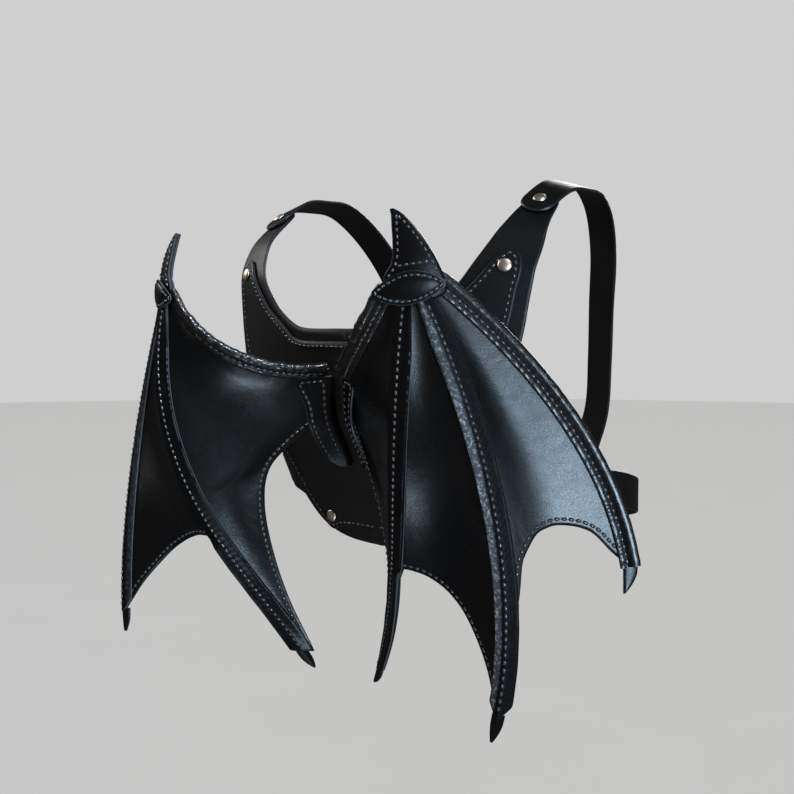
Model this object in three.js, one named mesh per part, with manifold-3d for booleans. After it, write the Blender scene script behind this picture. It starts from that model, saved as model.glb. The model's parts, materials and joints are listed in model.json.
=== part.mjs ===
// Dragon wings for a costume: two leather wings on a leather harness that is worn on the back.
// Millimetres. +X is the wearer's right, +Y the wearer's front, +Z up.
// The origin is on the spine, level with the wings' roots, on the harness face that touches the back.

import * as THREE from "three";
import { mergeVertices } from "three/addons/utils/BufferGeometryUtils.js";
import Module from "manifold-3d";

const wasm = await Module();
wasm.setup();

// Leather thicknesses and clearances
const harnessLeather = 2.6;
const wingLeather = 2.4;
const trimLeather = 2.0;
const gap = 0.3;
const lapGap = 0.7;
const stripGap = 0.75;

// Wing: reach from the spine, how far it stands off the back, and its drop below the knuckle
const wingReach = 226;
const wingStandoff = 76;
const wingDrop = 282;
const knuckleHeight = 60;
const boneHalfWidth = 7;
const bindingWidth = 8;
const bindingRoll = 7;
const clawLength = 15;
const clawWidth = 9;
const thumbHeight = 49;
const thumbWidth = 36;
const patchLength = 46;
const patchHeight = 20;
const knuckleBow = 5;
const patchDrop = 2;
const patchLift = 1;
const stripMargin = 0.5;
const rollRise = 0.4;

// Wing root: half distance between the wings, the sewn edge, and the tongue with its foot
const rootSpread = 9;
const rootTop = 3;
const rootHeight = 28;
const tongueTop = -3;
const tongueLength = 65;
const tongueWidth = 29;
const footWidth = 14;

// The wearer's back that the harness follows
const shoulderHeight = 150;
const shoulderForward = 80;
const backRoundness = 270;

// Harness: back plate sewn on a yoke, straps, rivets and the clasp
const plateHalfWidth = 130;
const plateHeight = 214;
const plateTop = 86;
const yokeHalfWidth = 140;
const yokeHeight = 266;
const yokeTop = 129;
const strapWidth = 25;
const torsoHalfWidth = 159;
const torsoFront = 256;
const ribLevel = 118;
const hornRivetOut = 120;
const hornRivetRise = 75;
const baseRivetOut = 46;
const baseRivetDrop = 117;
const shoulderRivetOut = 124;
const shoulderRivetDrop = 29;
const ribRivetTurn = 0.56;
const strapLean = 0.3;
const rivetDiameter = 10;
const rivetHeight = 2.2;
const rivetPost = 4;
const rivetGap = 0.5;
const claspWidth = 44;
const claspHeight = 30;
const claspThickness = 3;
const latticeMargin = 6;
const cutterReach = 400;

const wingFace = 2 * harnessLeather + gap;
const shoulderRivetRise = shoulderHeight - shoulderRivetDrop;
const rootClearance = lapGap + trimLeather + gap + 0.4 * wingLeather;
const vector = (x, y, z) => new THREE.Vector3(x, y, z);
const mix = (a, b, t) => a.clone().lerp(b, t);
const direction = (from, to) => to.clone().sub(from).normalize();

// Value of a table's curve at one place: cubic Hermite pieces whose slope at a row is the harmonic
// mean of the slopes beside it, or zero where those differ in sign, so that nothing overshoots.
function tableValue(table, from, to, at) {
  const last = table.length - 1;
  const slope = (k) => (table[k + 1][to] - table[k][to]) / (table[k + 1][from] - table[k][from]);
  const tangent = (k) => {
    if (k === 0) return slope(0);
    if (k === last) return slope(last - 1);
    const product = slope(k - 1) * slope(k);
    return product > 0 ? (2 * product) / (slope(k - 1) + slope(k)) : 0;
  };
  let k = 0;
  while (k < last - 1 && at > table[k + 1][from]) k += 1;
  const span = table[k + 1][from] - table[k][from];
  const t = THREE.MathUtils.clamp((at - table[k][from]) / span, 0, 1);
  const rise = t * t * (3 - 2 * t);
  return (1 - rise) * table[k][to]
    + rise * table[k + 1][to]
    + span * t * (1 - t) * ((1 - t) * tangent(k) - t * tangent(k + 1));
}

// Closed geometry from corners and triangles: equal corners become one, triangles that lost a
// corner go, and the faces are turned outward if the volume comes out negative.
function closedGeometry(corners, triangles) {
  const loose = new THREE.BufferGeometry().setFromPoints(corners);
  loose.setIndex(triangles.flat());
  const merged = mergeVertices(loose, 1e-3);
  const index = merged.index.array;
  const kept = [];
  for (let k = 0; k < index.length; k += 3) {
    const [a, b, c] = [index[k], index[k + 1], index[k + 2]];
    if (a !== b && b !== c && c !== a) kept.push([a, b, c]);
  }
  const corner = (k) => new THREE.Vector3().fromBufferAttribute(merged.attributes.position, k);
  const volume = kept.reduce((sum, [a, b, c]) => sum + corner(a).dot(corner(b).cross(corner(c))), 0);
  merged.setIndex(kept.flatMap(([a, b, c]) => (volume < 0 ? [a, c, b] : [a, b, c])));
  merged.computeVertexNormals();
  return merged;
}

// Mean normals of a grid's filled cells at its points, each long enough to keep the thickness at a
// crease. They point to the side from which rows run down and columns run right.
function gridNormals(grid, isFilled) {
  const cellNormal = (i, j) => {
    const falling = grid[i + 1][j + 1].clone().sub(grid[i][j]);
    const rising = grid[i][j + 1].clone().sub(grid[i + 1][j]);
    return falling.cross(rising).normalize();
  };
  return grid.map((row, i) => row.map((point, j) => {
    const around = [[i - 1, j - 1], [i - 1, j], [i, j - 1], [i, j]].filter(([a, b]) => isFilled(a, b));
    const normals = around.map(([a, b]) => cellNormal(a, b));
    const mean = normals.reduce((sum, normal) => sum.add(normal), vector(0, 0, 0)).normalize();
    const slant = normals.reduce((sum, normal) => sum + normal.dot(mean), 0) / Math.max(1, normals.length);
    return mean.divideScalar(slant || 1);
  }));
}

// Solid between two grids of points, with a wall along every edge of the filled cells.
function shellSolid(lower, upper, isFilled) {
  const rows = lower.length;
  const columns = lower[0].length;
  const top = (i, j) => rows * columns + i * columns + j;
  const bottom = (i, j) => i * columns + j;
  const triangles = [];
  for (let i = 0; i < rows - 1; i += 1) {
    for (let j = 0; j < columns - 1; j += 1) {
      if (!isFilled(i, j)) continue;
      const loop = [[i, j], [i + 1, j], [i + 1, j + 1], [i, j + 1]];
      const beside = [[i, j - 1], [i + 1, j], [i, j + 1], [i - 1, j]];
      const [a, b, c, d] = loop.map(([p, q]) => top(p, q));
      const [e, f, g, h] = loop.map(([p, q]) => bottom(p, q));
      triangles.push([a, b, c], [a, c, d], [e, g, f], [e, h, g]);
      beside.forEach(([p, q], k) => {
        if (isFilled(p, q)) return;
        const [start, end] = [loop[k], loop[(k + 1) % 4]];
        triangles.push([top(...start), bottom(...start), bottom(...end)]);
        triangles.push([top(...start), bottom(...end), top(...end)]);
      });
    }
  }
  return closedGeometry([...lower.flat(), ...upper.flat()], triangles);
}

// Sheet of leather on a grid, from one height above the grid to another.
function sheetSolid(grid, low, high, filled = () => true) {
  const isFilled = (i, j) => (
    i >= 0 && j >= 0 && i < grid.length - 1 && j < grid[0].length - 1 && filled(i, j)
  );
  const normals = gridNormals(grid, isFilled);
  const raised = (height) => grid.map((row, i) => row.map((point, j) => (
    point.clone().addScaledVector(normals[i][j], height)
  )));
  return shellSolid(raised(low), raised(high), isFilled);
}

// Solid with one section of [a, n] carried along frames, closed at both ends. Where a is positive it
// is measured along the frame's inward direction, and otherwise against its outward direction.
function sweptSolid(frames, section) {
  const corners = frames.flatMap(({ origin, inward, outward, normal }) => section.map(([a, n]) => (
    origin.clone()
      .addScaledVector(inward, Math.max(a, 0))
      .addScaledVector(outward, Math.max(-a, 0))
      .addScaledVector(normal, n)
  )));
  const count = section.length;
  const triangles = [];
  for (let i = 0; i < frames.length - 1; i += 1) {
    for (let k = 0; k < count; k += 1) {
      const next = (k + 1) % count;
      const [a, b, c, d] = [i * count + k, i * count + next, (i + 1) * count + next, (i + 1) * count + k];
      triangles.push([a, b, c], [a, c, d]);
    }
  }
  const outline = section.map(([a, n]) => new THREE.Vector2(a, n));
  const turn = THREE.ShapeUtils.isClockWise(outline) ? -1 : 1;
  const end = (frames.length - 1) * count;
  THREE.ShapeUtils.triangulateShape(outline, []).forEach(([a, b, c]) => {
    const [p, q] = turn > 0 ? [b, c] : [c, b];
    triangles.push([a, q, p], [end + a, end + p, end + q]);
  });
  return closedGeometry(corners, triangles);
}

// Copy on the other side of the wearer's spine.
function mirrored(geometry) {
  const position = geometry.attributes.position;
  const corners = Array.from({ length: position.count }, (_, k) => (
    new THREE.Vector3().fromBufferAttribute(position, k).multiply(vector(-1, 1, 1))
  ));
  const index = Array.from(geometry.index.array);
  const triangles = [];
  for (let k = 0; k < index.length; k += 3) triangles.push([index[k], index[k + 2], index[k + 1]]);
  return closedGeometry(corners, triangles);
}

// Cuts and joins

function solidOf(geometry) {
  const bare = geometry.clone();
  bare.deleteAttribute("normal");
  bare.deleteAttribute("uv");
  const merged = mergeVertices(bare, 1e-3);
  return new wasm.Manifold(new wasm.Mesh({
    numProp: 3,
    vertProperties: new Float32Array(merged.attributes.position.array),
    triVerts: new Uint32Array(merged.index.array),
  }));
}

function geometryOf(solid) {
  const mesh = solid.getMesh();
  const corners = [];
  for (let k = 0; k < mesh.vertProperties.length; k += mesh.numProp) {
    corners.push(vector(...mesh.vertProperties.slice(k, k + 3)));
  }
  const triangles = [];
  for (let k = 0; k < mesh.triVerts.length; k += 3) triangles.push([...mesh.triVerts.slice(k, k + 3)]);
  return closedGeometry(corners, triangles);
}

// Straight cylinder through a point along an axis.
function roundCutter(point, axis, radius) {
  const cutter = new THREE.CylinderGeometry(radius, radius, 4 * rivetDiameter, 10);
  cutter.applyQuaternion(new THREE.Quaternion().setFromUnitVectors(vector(0, 1, 0), axis));
  cutter.translate(point.x, point.y, point.z);
  return cutter;
}

function withHoles(geometry, rivets) {
  const cut = rivets.reduce((solid, { point, axis }) => (
    solid.subtract(solidOf(roundCutter(point, axis, rivetPost / 2 + gap)))
  ), solidOf(geometry));
  return geometryOf(cut);
}

// The wearer's back: rows of height and of how far forward the back lies, as shares of the
// shoulder's height and set.
const backProfile = [
  { rise: -1.6, forward: 0.75 },
  { rise: -0.773, forward: 0.52 },
  { rise: -0.425, forward: 0.256 },
  { rise: -0.16, forward: 0.01 },
  { rise: 0, forward: 0 },
  { rise: 0.3, forward: 0 },
  { rise: 0.46, forward: 0.007 },
  { rise: 0.645, forward: 0.157 },
  { rise: 0.826, forward: 0.573 },
  { rise: 0.9, forward: 0.86 },
];

function backDepth(x, z) {
  const forward = tableValue(backProfile, "rise", "forward", z / shoulderHeight);
  return (x * x) / (2 * backRoundness) + shoulderForward * forward;
}

// Outward direction of the back, away from the wearer.
function backNormal(x, z) {
  const slope = backDepth(x, z + 1) - backDepth(x, z - 1);
  return vector(x / backRoundness, -1, slope / 2).normalize();
}

function backPoint(x, z, height) {
  return vector(x, backDepth(x, z), z).addScaledVector(backNormal(x, z), height);
}

// Bones of the wing as cubic curves from the knuckle to the tip. Each row is one control point, as
// shares of the reach, the standoff and the drop.
const boneTable = {
  arm: [
    { out: 0.416, back: 0.987, down: 0.018 },
    { out: 0.31, back: 1, down: 0.152 },
    { out: 0.159, back: 0.618, down: 0.223 },
  ],
  inner: [
    { out: 0.482, back: 0.947, down: 0.035 },
    { out: 0.504, back: 1.316, down: 0.489 },
    { out: 0.345, back: 0.316, down: 0.734 },
    { out: 0.146, back: 0.013, down: 1 },
  ],
  middle: [
    { out: 0.531, back: 0.855, down: 0.035 },
    { out: 0.73, back: 0.711, down: 0.362 },
    { out: 0.827, back: 0.711, down: 0.706 },
    { out: 0.757, back: 0.829, down: 0.968 },
  ],
  outer: [
    { out: 0.558, back: 0.711, down: -0.004 },
    { out: 0.779, back: 0.171, down: 0.188 },
    { out: 0.951, back: -0.118, down: 0.401 },
    { out: 1, back: -0.145, down: 0.631 },
  ],
};

function wingPoint({ out, back, down }) {
  return vector(out * wingReach, -wingFace - back * wingStandoff, knuckleHeight - down * wingDrop);
}

function rootPoint(x, z) {
  return backPoint(x, z, wingFace + rootClearance);
}

// Rows of the wing's sheet: the place on the inner bone as a share of its curve, and how far the
// inner scallop has cut in from the root towards that bone.
const panelRows = [
  { along: 0, cut: 0 },
  { along: 0.07, cut: 0 },
  { along: 0.14, cut: 0 },
  { along: 0.21, cut: 0 },
  { along: 0.28, cut: 0 },
  { along: 0.35, cut: 0 },
  { along: 0.4, cut: 0 },
  { along: 0.445, cut: 0 },
  { along: 0.462, cut: 0.3 },
  { along: 0.478, cut: 0.46 },
  { along: 0.51, cut: 0.56 },
  { along: 0.55, cut: 0.62 },
  { along: 0.59, cut: 0.663 },
  { along: 0.65, cut: 0.712 },
  { along: 0.74, cut: 0.768 },
  { along: 0.85, cut: 0.82 },
  { along: 0.97, cut: 0.85 },
];
const armRows = 5;
const rootRows = 7;
const middleRows = 12;
const outerRows = 7;
const lastRows = panelRows.length - 1;

// Lower edges of the other panels: the place across from bone to bone, and how much further along
// a row lies there than on the bone that it starts from.
const middlePanel = [
  { across: 0, reach: 1 },
  { across: 0.09, reach: 1 },
  { across: 0.25, reach: 1.03 },
  { across: 0.42, reach: 1.09 },
  { across: 0.6, reach: 1.186 },
  { across: 0.75, reach: 1.308 },
  { across: 0.88, reach: 1.449 },
  { across: 1, reach: 1.644 },
];
const outerPanel = [
  { across: 0, reach: 1 },
  { across: 0.1, reach: 0.984 },
  { across: 0.2, reach: 0.871 },
  { across: 0.35, reach: 0.857 },
  { across: 0.5, reach: 0.891 },
  { across: 0.65, reach: 0.964 },
  { across: 0.8, reach: 1.08 },
  { across: 0.9, reach: 1.23 },
  { across: 1, reach: 1.367 },
];
const innerCells = 5;
const innerColumn = innerCells;
const middleColumn = innerColumn + middlePanel.length - 1;
const outerColumn = middleColumn + outerPanel.length - 1;

// The two wings hang a little differently: how far the middle and outer bones reach down.
const wings = {
  right: { middleHang: 1, outerHang: 1 },
  left: { middleHang: 0.94, outerHang: 1.1 },
};

// Grid of the wing's sheet: columns run from the arm and root edge over the inner, middle and
// outer bones, and each panel is ruled straight from bone to bone.
function wingGrid({ middleHang, outerHang }) {
  const curve = (name, ...more) => (
    new THREE.CubicBezierCurve3(...boneTable[name].map(wingPoint), ...more)
  );
  const arm = curve("arm", rootPoint(rootSpread, rootTop));
  const inner = curve("inner");
  const middle = curve("middle");
  const outer = curve("outer");
  const rootFoot = rootTop - rootHeight;
  const tipHeight = knuckleHeight - wingDrop;
  const innerEdge = (i) => {
    if (i <= armRows) return arm.getPoint(i / armRows);
    const rootShare = (i - armRows) / (rootRows - armRows);
    if (i <= rootRows) return rootPoint(rootSpread, rootTop - rootHeight * rootShare);
    const from = panelRows[rootRows].along;
    const share = (panelRows[i].along - from) / (panelRows[lastRows].along - from);
    return rootPoint(rootSpread, rootFoot + share * (tipHeight - rootFoot));
  };
  const ledge = (bone, point) => (
    bone.clone().addScaledVector(direction(bone, point), boneHalfWidth - stripMargin)
  );
  const middleEnd = middlePanel.at(-1).reach;
  const outerEnd = outerPanel.at(-1).reach;
  return panelRows.map(({ along, cut }, i) => {
    const bone = inner.getPoint(along);
    const edge = mix(innerEdge(i), bone, cut);
    const middleAlong = Math.min(along, panelRows[middleRows].along) * middleEnd;
    const outerAlong = Math.min(along, panelRows[outerRows].along) * middleEnd;
    const row = Array.from({ length: innerCells + 1 }, (_, k) => mix(edge, bone, k / innerCells));
    middlePanel.slice(1).forEach(({ across, reach }, k) => {
      const share = i <= middleRows ? along * reach : along;
      const end = i <= middleRows ? share : middleAlong;
      const point = mix(inner.getPoint(share), middle.getPoint(end * middleHang), across);
      row.push(k === 0 && i > middleRows ? ledge(bone, point) : point);
    });
    const middleBone = row[middleColumn];
    outerPanel.slice(1).forEach(({ across, reach }, k) => {
      const share = i <= outerRows ? middleAlong * reach : middleAlong;
      const end = i <= outerRows ? share : outerAlong * outerEnd;
      const point = mix(middle.getPoint(share * middleHang), outer.getPoint(end * outerHang), across);
      row.push(k === 0 && i > outerRows ? ledge(middleBone, point) : point);
    });
    return row;
  });
}

function isWingLeather(i, j) {
  if (j <= innerColumn) return true;
  if (j <= middleColumn) return i < middleRows;
  return i < outerRows;
}

// Strip folded over a bone: it widens over its first rows, and its two halves lie along the rows
// of the sheet on either side.
const stripWidths = [0.66, 0.82, 0.96];

function boneStrip(grid, column, rows) {
  const strip = grid.slice(0, rows + 1).map((row, i) => {
    const bone = row[column];
    const run = direction(grid[Math.max(i - 1, 0)][column], grid[Math.min(i + 1, rows)][column]);
    const halfWidth = boneHalfWidth * (stripWidths[i] ?? 1);
    const side = (to) => {
      const along = direction(bone, to);
      return along.multiplyScalar(halfWidth / along.clone().cross(run).length());
    };
    const left = side(row[column - 1]);
    const right = side(row[column + 1]);
    return [1, 0.5, 0, -0.5, -1].map((share) => (
      bone.clone().addScaledVector(share > 0 ? left : right, Math.abs(share))
    ));
  });
  const low = wingLeather / 2 + stripGap;
  return sheetSolid(strip, low, low + trimLeather);
}

// Binding along an edge of the sheet: a flat half on the leather and a padded roll beyond its edge.
const rollDegrees = [70, 105, 140, 180, 220, 260, 300, 340];

function edgeBinding(grid, rows, column, inner, normals, firstShare, lastShare) {
  const radius = bindingRoll / 2;
  const low = wingLeather / 2 + stripGap;
  const high = low + trimLeather;
  const centre = [-radius - gap, high - radius + rollRise];
  const roll = rollDegrees.map((degrees) => {
    const angle = THREE.MathUtils.degToRad(degrees);
    return [centre[0] + radius * Math.cos(angle), centre[1] + radius * Math.sin(angle)];
  });
  const section = [[bindingWidth, low], [bindingWidth, high], [0, high], ...roll, [-gap, low]];
  const frames = [];
  for (let i = 0; i <= rows; i += 1) {
    const origin = grid[i][column];
    const run = direction(grid[Math.max(i - 1, 0)][column], grid[Math.min(i + 1, rows)][column]);
    const along = direction(origin, grid[i][inner]);
    const slant = along.clone().cross(run).length();
    const outward = along.clone().addScaledVector(run, -along.dot(run)).normalize().negate();
    frames.push({ origin, inward: along.divideScalar(slant), outward, normal: normals[i][column] });
  }
  const between = (a, b, t) => Object.fromEntries(
    Object.keys(a).map((key) => [key, mix(a[key], b[key], t)]),
  );
  frames[0] = between(frames[0], frames[1], firstShare);
  frames[rows] = between(frames[rows - 1], frames[rows], lastShare);
  return sweptSolid(frames, section);
}

// Pointed leather claw that goes on from the sheet at a bone's tip. Each row is the share of the
// length and of the half width.
const clawOutline = [
  { along: 0, half: 1 },
  { along: 0.35, half: 0.92 },
  { along: 0.7, half: 0.55 },
  { along: 1, half: 0.14 },
];

function boneClaw(grid, row, column) {
  const tip = grid[row][column];
  const run = direction(grid[row - 1][column], tip);
  const beside = (to) => {
    const side = direction(tip, to);
    return side.addScaledVector(run, -Math.min(0, side.dot(run))).normalize();
  };
  const left = beside(grid[row][column - 1]);
  const right = column < outerColumn ? beside(grid[row][column + 1]) : left.clone().negate();
  const claw = clawOutline.map(({ along, half }) => [left, vector(0, 0, 0), right].map((side) => (
    tip.clone()
      .addScaledVector(run, 2 * gap + along * clawLength)
      .addScaledVector(side, (half * clawWidth) / 2)
  )));
  return sheetSolid(claw, -wingLeather / 2, wingLeather / 2);
}

// Knuckle: a bowed upright surface above the wing's top edge, which leans forward towards the
// thumb's tip. Its point at a place along and up from the knuckle's centre.
const knuckleCentre = wingPoint({ out: 0.487, back: 0.868, down: 0 });
const knuckleSideways = vector(0.84, 0.54, 0.155).normalize();

function knucklePoint(along, up) {
  const sideways = knuckleSideways.clone();
  const normal = sideways.clone().cross(vector(0, 0, 1)).normalize();
  const span = patchLength / 2;
  const bow = knuckleBow * (1 - (along / span) ** 2);
  const lean = Math.max(0, up / thumbHeight) ** 1.5;
  return knuckleCentre.clone()
    .addScaledVector(sideways, along)
    .add(vector(0, 0, up))
    .addScaledVector(normal, bow * (1 - lean) - knuckleBow * lean);
}

// Thumb claw's outline: how far its two edges lie to either side, as shares of its width, at
// shares of its height.
const thumbOutline = [
  { up: -0.175, inner: -0.02, outer: 0.18 },
  { up: -0.02, inner: -0.44, outer: 0.56 },
  { up: 0.12, inner: -0.42, outer: 0.57 },
  { up: 0.25, inner: -0.34, outer: 0.5 },
  { up: 0.42, inner: -0.3, outer: 0.39 },
  { up: 0.62, inner: -0.31, outer: 0.22 },
  { up: 0.82, inner: -0.34, outer: 0.02 },
  { up: 0.93, inner: -0.37, outer: -0.2 },
  { up: 1, inner: -0.4, outer: -0.35 },
];

function thumbLeaf(low) {
  const leaf = thumbOutline.map(({ up, inner, outer }) => [0, 0.25, 0.5, 0.75, 1].map((share) => (
    knucklePoint(thumbWidth * THREE.MathUtils.lerp(inner, outer, share), thumbHeight * up)
  ))).reverse();
  return sheetSolid(leaf, low, low + trimLeather);
}

// Almond patch over the knuckle. Half its height goes with a cosine of the place along it.
function knucklePatch() {
  const stations = [-1, -0.85, -0.6, -0.3, 0, 0.3, 0.6, 0.85, 1];
  const rows = [1, 0.5, 0, -0.5, -1].map((share) => stations.map((station) => {
    const half = (patchHeight / 2) * (0.12 + 0.88 * Math.cos((station * Math.PI) / 2));
    return knucklePoint((station * patchLength) / 2, share * half - patchDrop);
  }));
  const low = wingLeather / 2 + trimLeather + 2 * gap + patchLift;
  return sheetSolid(rows, low, low + trimLeather);
}

// Tongue's width at shares of its length.
const tongueOutline = [
  { down: 0, width: 1 },
  { down: 0.2, width: 0.8 },
  { down: 0.4, width: 0.66 },
  { down: 0.65, width: 0.66 },
  { down: 0.85, width: 0.62 },
  { down: 0.95, width: 0.5 },
  { down: 1, width: 0.3 },
];

// Root tongue: one leaf lies on the wing, is folded round its sewn edge and ends as a foot that
// lies on the back plate.
function rootTongue(grid) {
  const lift = wingLeather / 2 + lapGap + trimLeather / 2;
  const footLift = wingFace + lapGap + trimLeather / 2;
  const rootBottom = rootTop - rootHeight;
  const wingward = (i) => direction(grid[i][0], grid[i][1]);
  const leafDirection = (z) => {
    const place = armRows + ((rootTop - z) / rootHeight) * (rootRows - armRows);
    if (place < rootRows) {
      const low = Math.floor(place);
      return mix(wingward(low), wingward(low + 1), place - low).normalize();
    }
    const level = wingward(rootRows).setZ(0).normalize();
    const share = Math.min(1, (rootBottom - z) / (tongueLength + tongueTop + rootBottom));
    return mix(wingward(rootRows), level, share).normalize();
  };
  const rows = tongueOutline.map(({ down, width }) => {
    const z = tongueTop - down * tongueLength;
    const root = rootPoint(rootSpread, z);
    const along = leafDirection(z);
    const level = along.clone().setZ(0).normalize();
    const normal = vector(level.y, -level.x, 0);
    const reach = tongueWidth * width;
    const leaf = [1, 0.66, 0.33, 0.04].map((share) => (
      root.clone().addScaledVector(along, reach * share).addScaledVector(normal, lift)
    ));
    const foldStart = Math.atan2(normal.y, normal.x) + 2 * Math.PI;
    const foldEnd = Math.PI / 2;
    const fold = [0.3, 0.6, 1].map((share) => {
      const angle = THREE.MathUtils.lerp(foldStart, foldEnd, share);
      const radius = THREE.MathUtils.lerp(lift, rootClearance - lapGap - trimLeather / 2, share);
      return root.clone().add(vector(radius * Math.cos(angle), radius * Math.sin(angle), 0));
    });
    const foot = [0.5, 1].map((share) => {
      const x = rootSpread + share * footWidth;
      return backPoint(x, z, footLift);
    });
    return [...leaf, ...fold, ...foot];
  });
  return sheetSolid(rows, -trimLeather / 2, trimLeather / 2);
}

// Harness leather cut to an outline. Half outlines run from the middle of the lower edge round the
// horn or shoulder to the middle of the scoop, as shares of the half width and the height.
const plateOutline = [
  { out: 0, down: 0.981 },
  { out: 0.18, down: 0.979 },
  { out: 0.29, down: 0.985 },
  { out: 0.365, down: 1 },
  { out: 0.42, down: 0.98 },
  { out: 0.5, down: 0.925 },
  { out: 0.59, down: 0.83 },
  { out: 0.69, down: 0.67 },
  { out: 0.81, down: 0.48 },
  { out: 0.9, down: 0.335 },
  { out: 0.95, down: 0.22 },
  { out: 0.98, down: 0.12 },
  { out: 1, down: 0.06 },
  { out: 0.985, down: 0.02 },
  { out: 0.94, down: 0 },
  { out: 0.885, down: 0.018 },
  { out: 0.83, down: 0.06 },
  { out: 0.75, down: 0.115 },
  { out: 0.66, down: 0.17 },
  { out: 0.5, down: 0.24 },
  { out: 0.41, down: 0.28 },
  { out: 0.33, down: 0.295 },
  { out: 0, down: 0.299 },
];
const yokeOutline = [
  { out: 0, down: 1 },
  { out: 0.22, down: 0.99 },
  { out: 0.35, down: 0.972 },
  { out: 0.45, down: 0.945 },
  { out: 0.55, down: 0.895 },
  { out: 0.64, down: 0.815 },
  { out: 0.73, down: 0.7 },
  { out: 0.83, down: 0.56 },
  { out: 0.9, down: 0.46 },
  { out: 0.94, down: 0.375 },
  { out: 0.965, down: 0.29 },
  { out: 0.985, down: 0.22 },
  { out: 1, down: 0.15 },
  { out: 0.985, down: 0.08 },
  { out: 0.955, down: 0.018 },
  { out: 0.89, down: 0 },
  { out: 0.82, down: 0.018 },
  { out: 0.785, down: 0.09 },
  { out: 0.74, down: 0.155 },
  { out: 0.675, down: 0.22 },
  { out: 0.6, down: 0.268 },
  { out: 0.51, down: 0.312 },
  { out: 0.4, down: 0.348 },
  { out: 0.32, down: 0.362 },
  { out: 0, down: 0.366 },
];

const cornersPerOutline = 40;

function outlineCutter(outline, halfWidth, height, top) {
  const half = outline.map(({ out, down }) => vector(out * halfWidth, top - down * height, 0));
  const right = new THREE.CatmullRomCurve3(half, false, "centripetal").getPoints(cornersPerOutline);
  const left = right.slice(1, -1).reverse().map(({ x, y }) => vector(-x, y, 0));
  const shape = new THREE.Shape([...right, ...left].map(({ x, y }) => new THREE.Vector2(x, y)));
  const cutter = new THREE.ExtrudeGeometry(shape, { depth: cutterReach, bevelEnabled: false });
  cutter.rotateX(Math.PI / 2);
  cutter.translate(0, cutterReach / 2, 0);
  return solidOf(cutter);
}

// Lattice of the wearer's back, with closer rows where it bends over the shoulders.
function backLattice() {
  const side = yokeHalfWidth + latticeMargin;
  const bottom = yokeTop - yokeHeight - latticeMargin;
  const bend = 0.4 * shoulderHeight;
  const top = yokeTop + latticeMargin;
  const columns = 11;
  const lowRows = 11;
  const highRows = 8;
  const heights = [
    ...Array.from({ length: highRows }, (_, k) => THREE.MathUtils.lerp(top, bend, k / highRows)),
    ...Array.from({ length: lowRows + 1 }, (_, k) => THREE.MathUtils.lerp(bend, bottom, k / lowRows)),
  ];
  return heights.map((z) => Array.from({ length: columns + 1 }, (_, k) => {
    const x = THREE.MathUtils.lerp(-side, side, k / columns);
    return vector(x, backDepth(x, z), z);
  }));
}

function harnessLayer(low, cutter, rivets) {
  const slab = solidOf(sheetSolid(backLattice(), low, low + harnessLeather));
  return withHoles(geometryOf(slab.intersect(cutter)), rivets);
}

// Strap along a route of { point, normal }, with rounded ends where they are asked for.
const roundDegrees = [10, 40, 65];

function strapSolid(route, steps, low, roundStart, roundEnd) {
  const path = new THREE.CatmullRomCurve3(route.map(({ point }) => point), false, "centripetal");
  const facing = new THREE.CatmullRomCurve3(route.map(({ normal }) => normal), false, "centripetal");
  const length = path.getLength();
  const half = strapWidth / 2;
  const cap = roundDegrees.map((degrees) => {
    const angle = THREE.MathUtils.degToRad(degrees);
    return [half * (1 - Math.cos(angle)), half * Math.sin(angle)];
  });
  const first = roundStart ? half : 0;
  const last = roundEnd ? length - half : length;
  const straight = Array.from({ length: steps + 1 }, (_, k) => (
    [THREE.MathUtils.lerp(first, last, k / steps), half]
  ));
  const stations = [
    ...(roundStart ? cap : []),
    ...straight,
    ...(roundEnd ? cap.map(([back, width]) => [length - back, width]).reverse() : []),
  ];
  const rows = stations.map(([distance, halfWidth]) => {
    const share = path.getUtoTmapping(distance / length);
    const run = path.getTangent(share);
    const side = run.clone().cross(facing.getPoint(share)).normalize();
    return [1, 0, -1].map((part) => path.getPoint(share).addScaledVector(side, part * halfWidth));
  });
  return sheetSolid(rows, low, low + harnessLeather);
}

// Front strap from the lap on the yoke's arm over the shoulder and down to the rib strap. The
// first two rows follow the back; the others are shares of the yoke's half width, the torso's
// front and the shoulder's height.
const shoulderRoute = [
  { out: 0.893, forward: 0.372, rise: 0.888 },
  { out: 0.89, forward: 0.475, rise: 0.903 },
  { out: 0.88, forward: 0.57, rise: 0.895 },
  { out: 0.85, forward: 0.67, rise: 0.8 },
  { out: 0.786, forward: 0.773, rise: 0.6 },
  { out: 0.714, forward: 0.844, rise: 0.333 },
  { out: 0.657, forward: 0.902, rise: 0.033 },
  { out: 0.607, forward: 0.938, rise: -0.267 },
];

function shoulderStrapRoute() {
  const laps = [shoulderRivetRise - 0.3 * strapWidth, shoulderRivetRise].map((z) => {
    const point = backPoint(shoulderRivetOut, z, 0);
    return { point, normal: backNormal(shoulderRivetOut, z) };
  });
  const over = shoulderRoute.map(({ out, forward, rise }) => (
    vector(out * yokeHalfWidth, forward * torsoFront, rise * shoulderHeight)
  ));
  const ends = [-0.78, -1.12].map((share) => ribPoint(ribRivetTurn, share * ribLevel).point);
  const points = [...over, ...ends];
  const all = [...laps.map(({ point }) => point), ...points];
  const normals = points.map((_, k) => {
    const at = k + laps.length;
    const run = direction(all[at - 1], all[Math.min(at + 1, all.length - 1)]);
    return vector(strapLean, -run.z, run.y).normalize();
  });
  return [...laps, ...points.map((point, k) => ({ point, normal: normals[k] }))];
}

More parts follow.
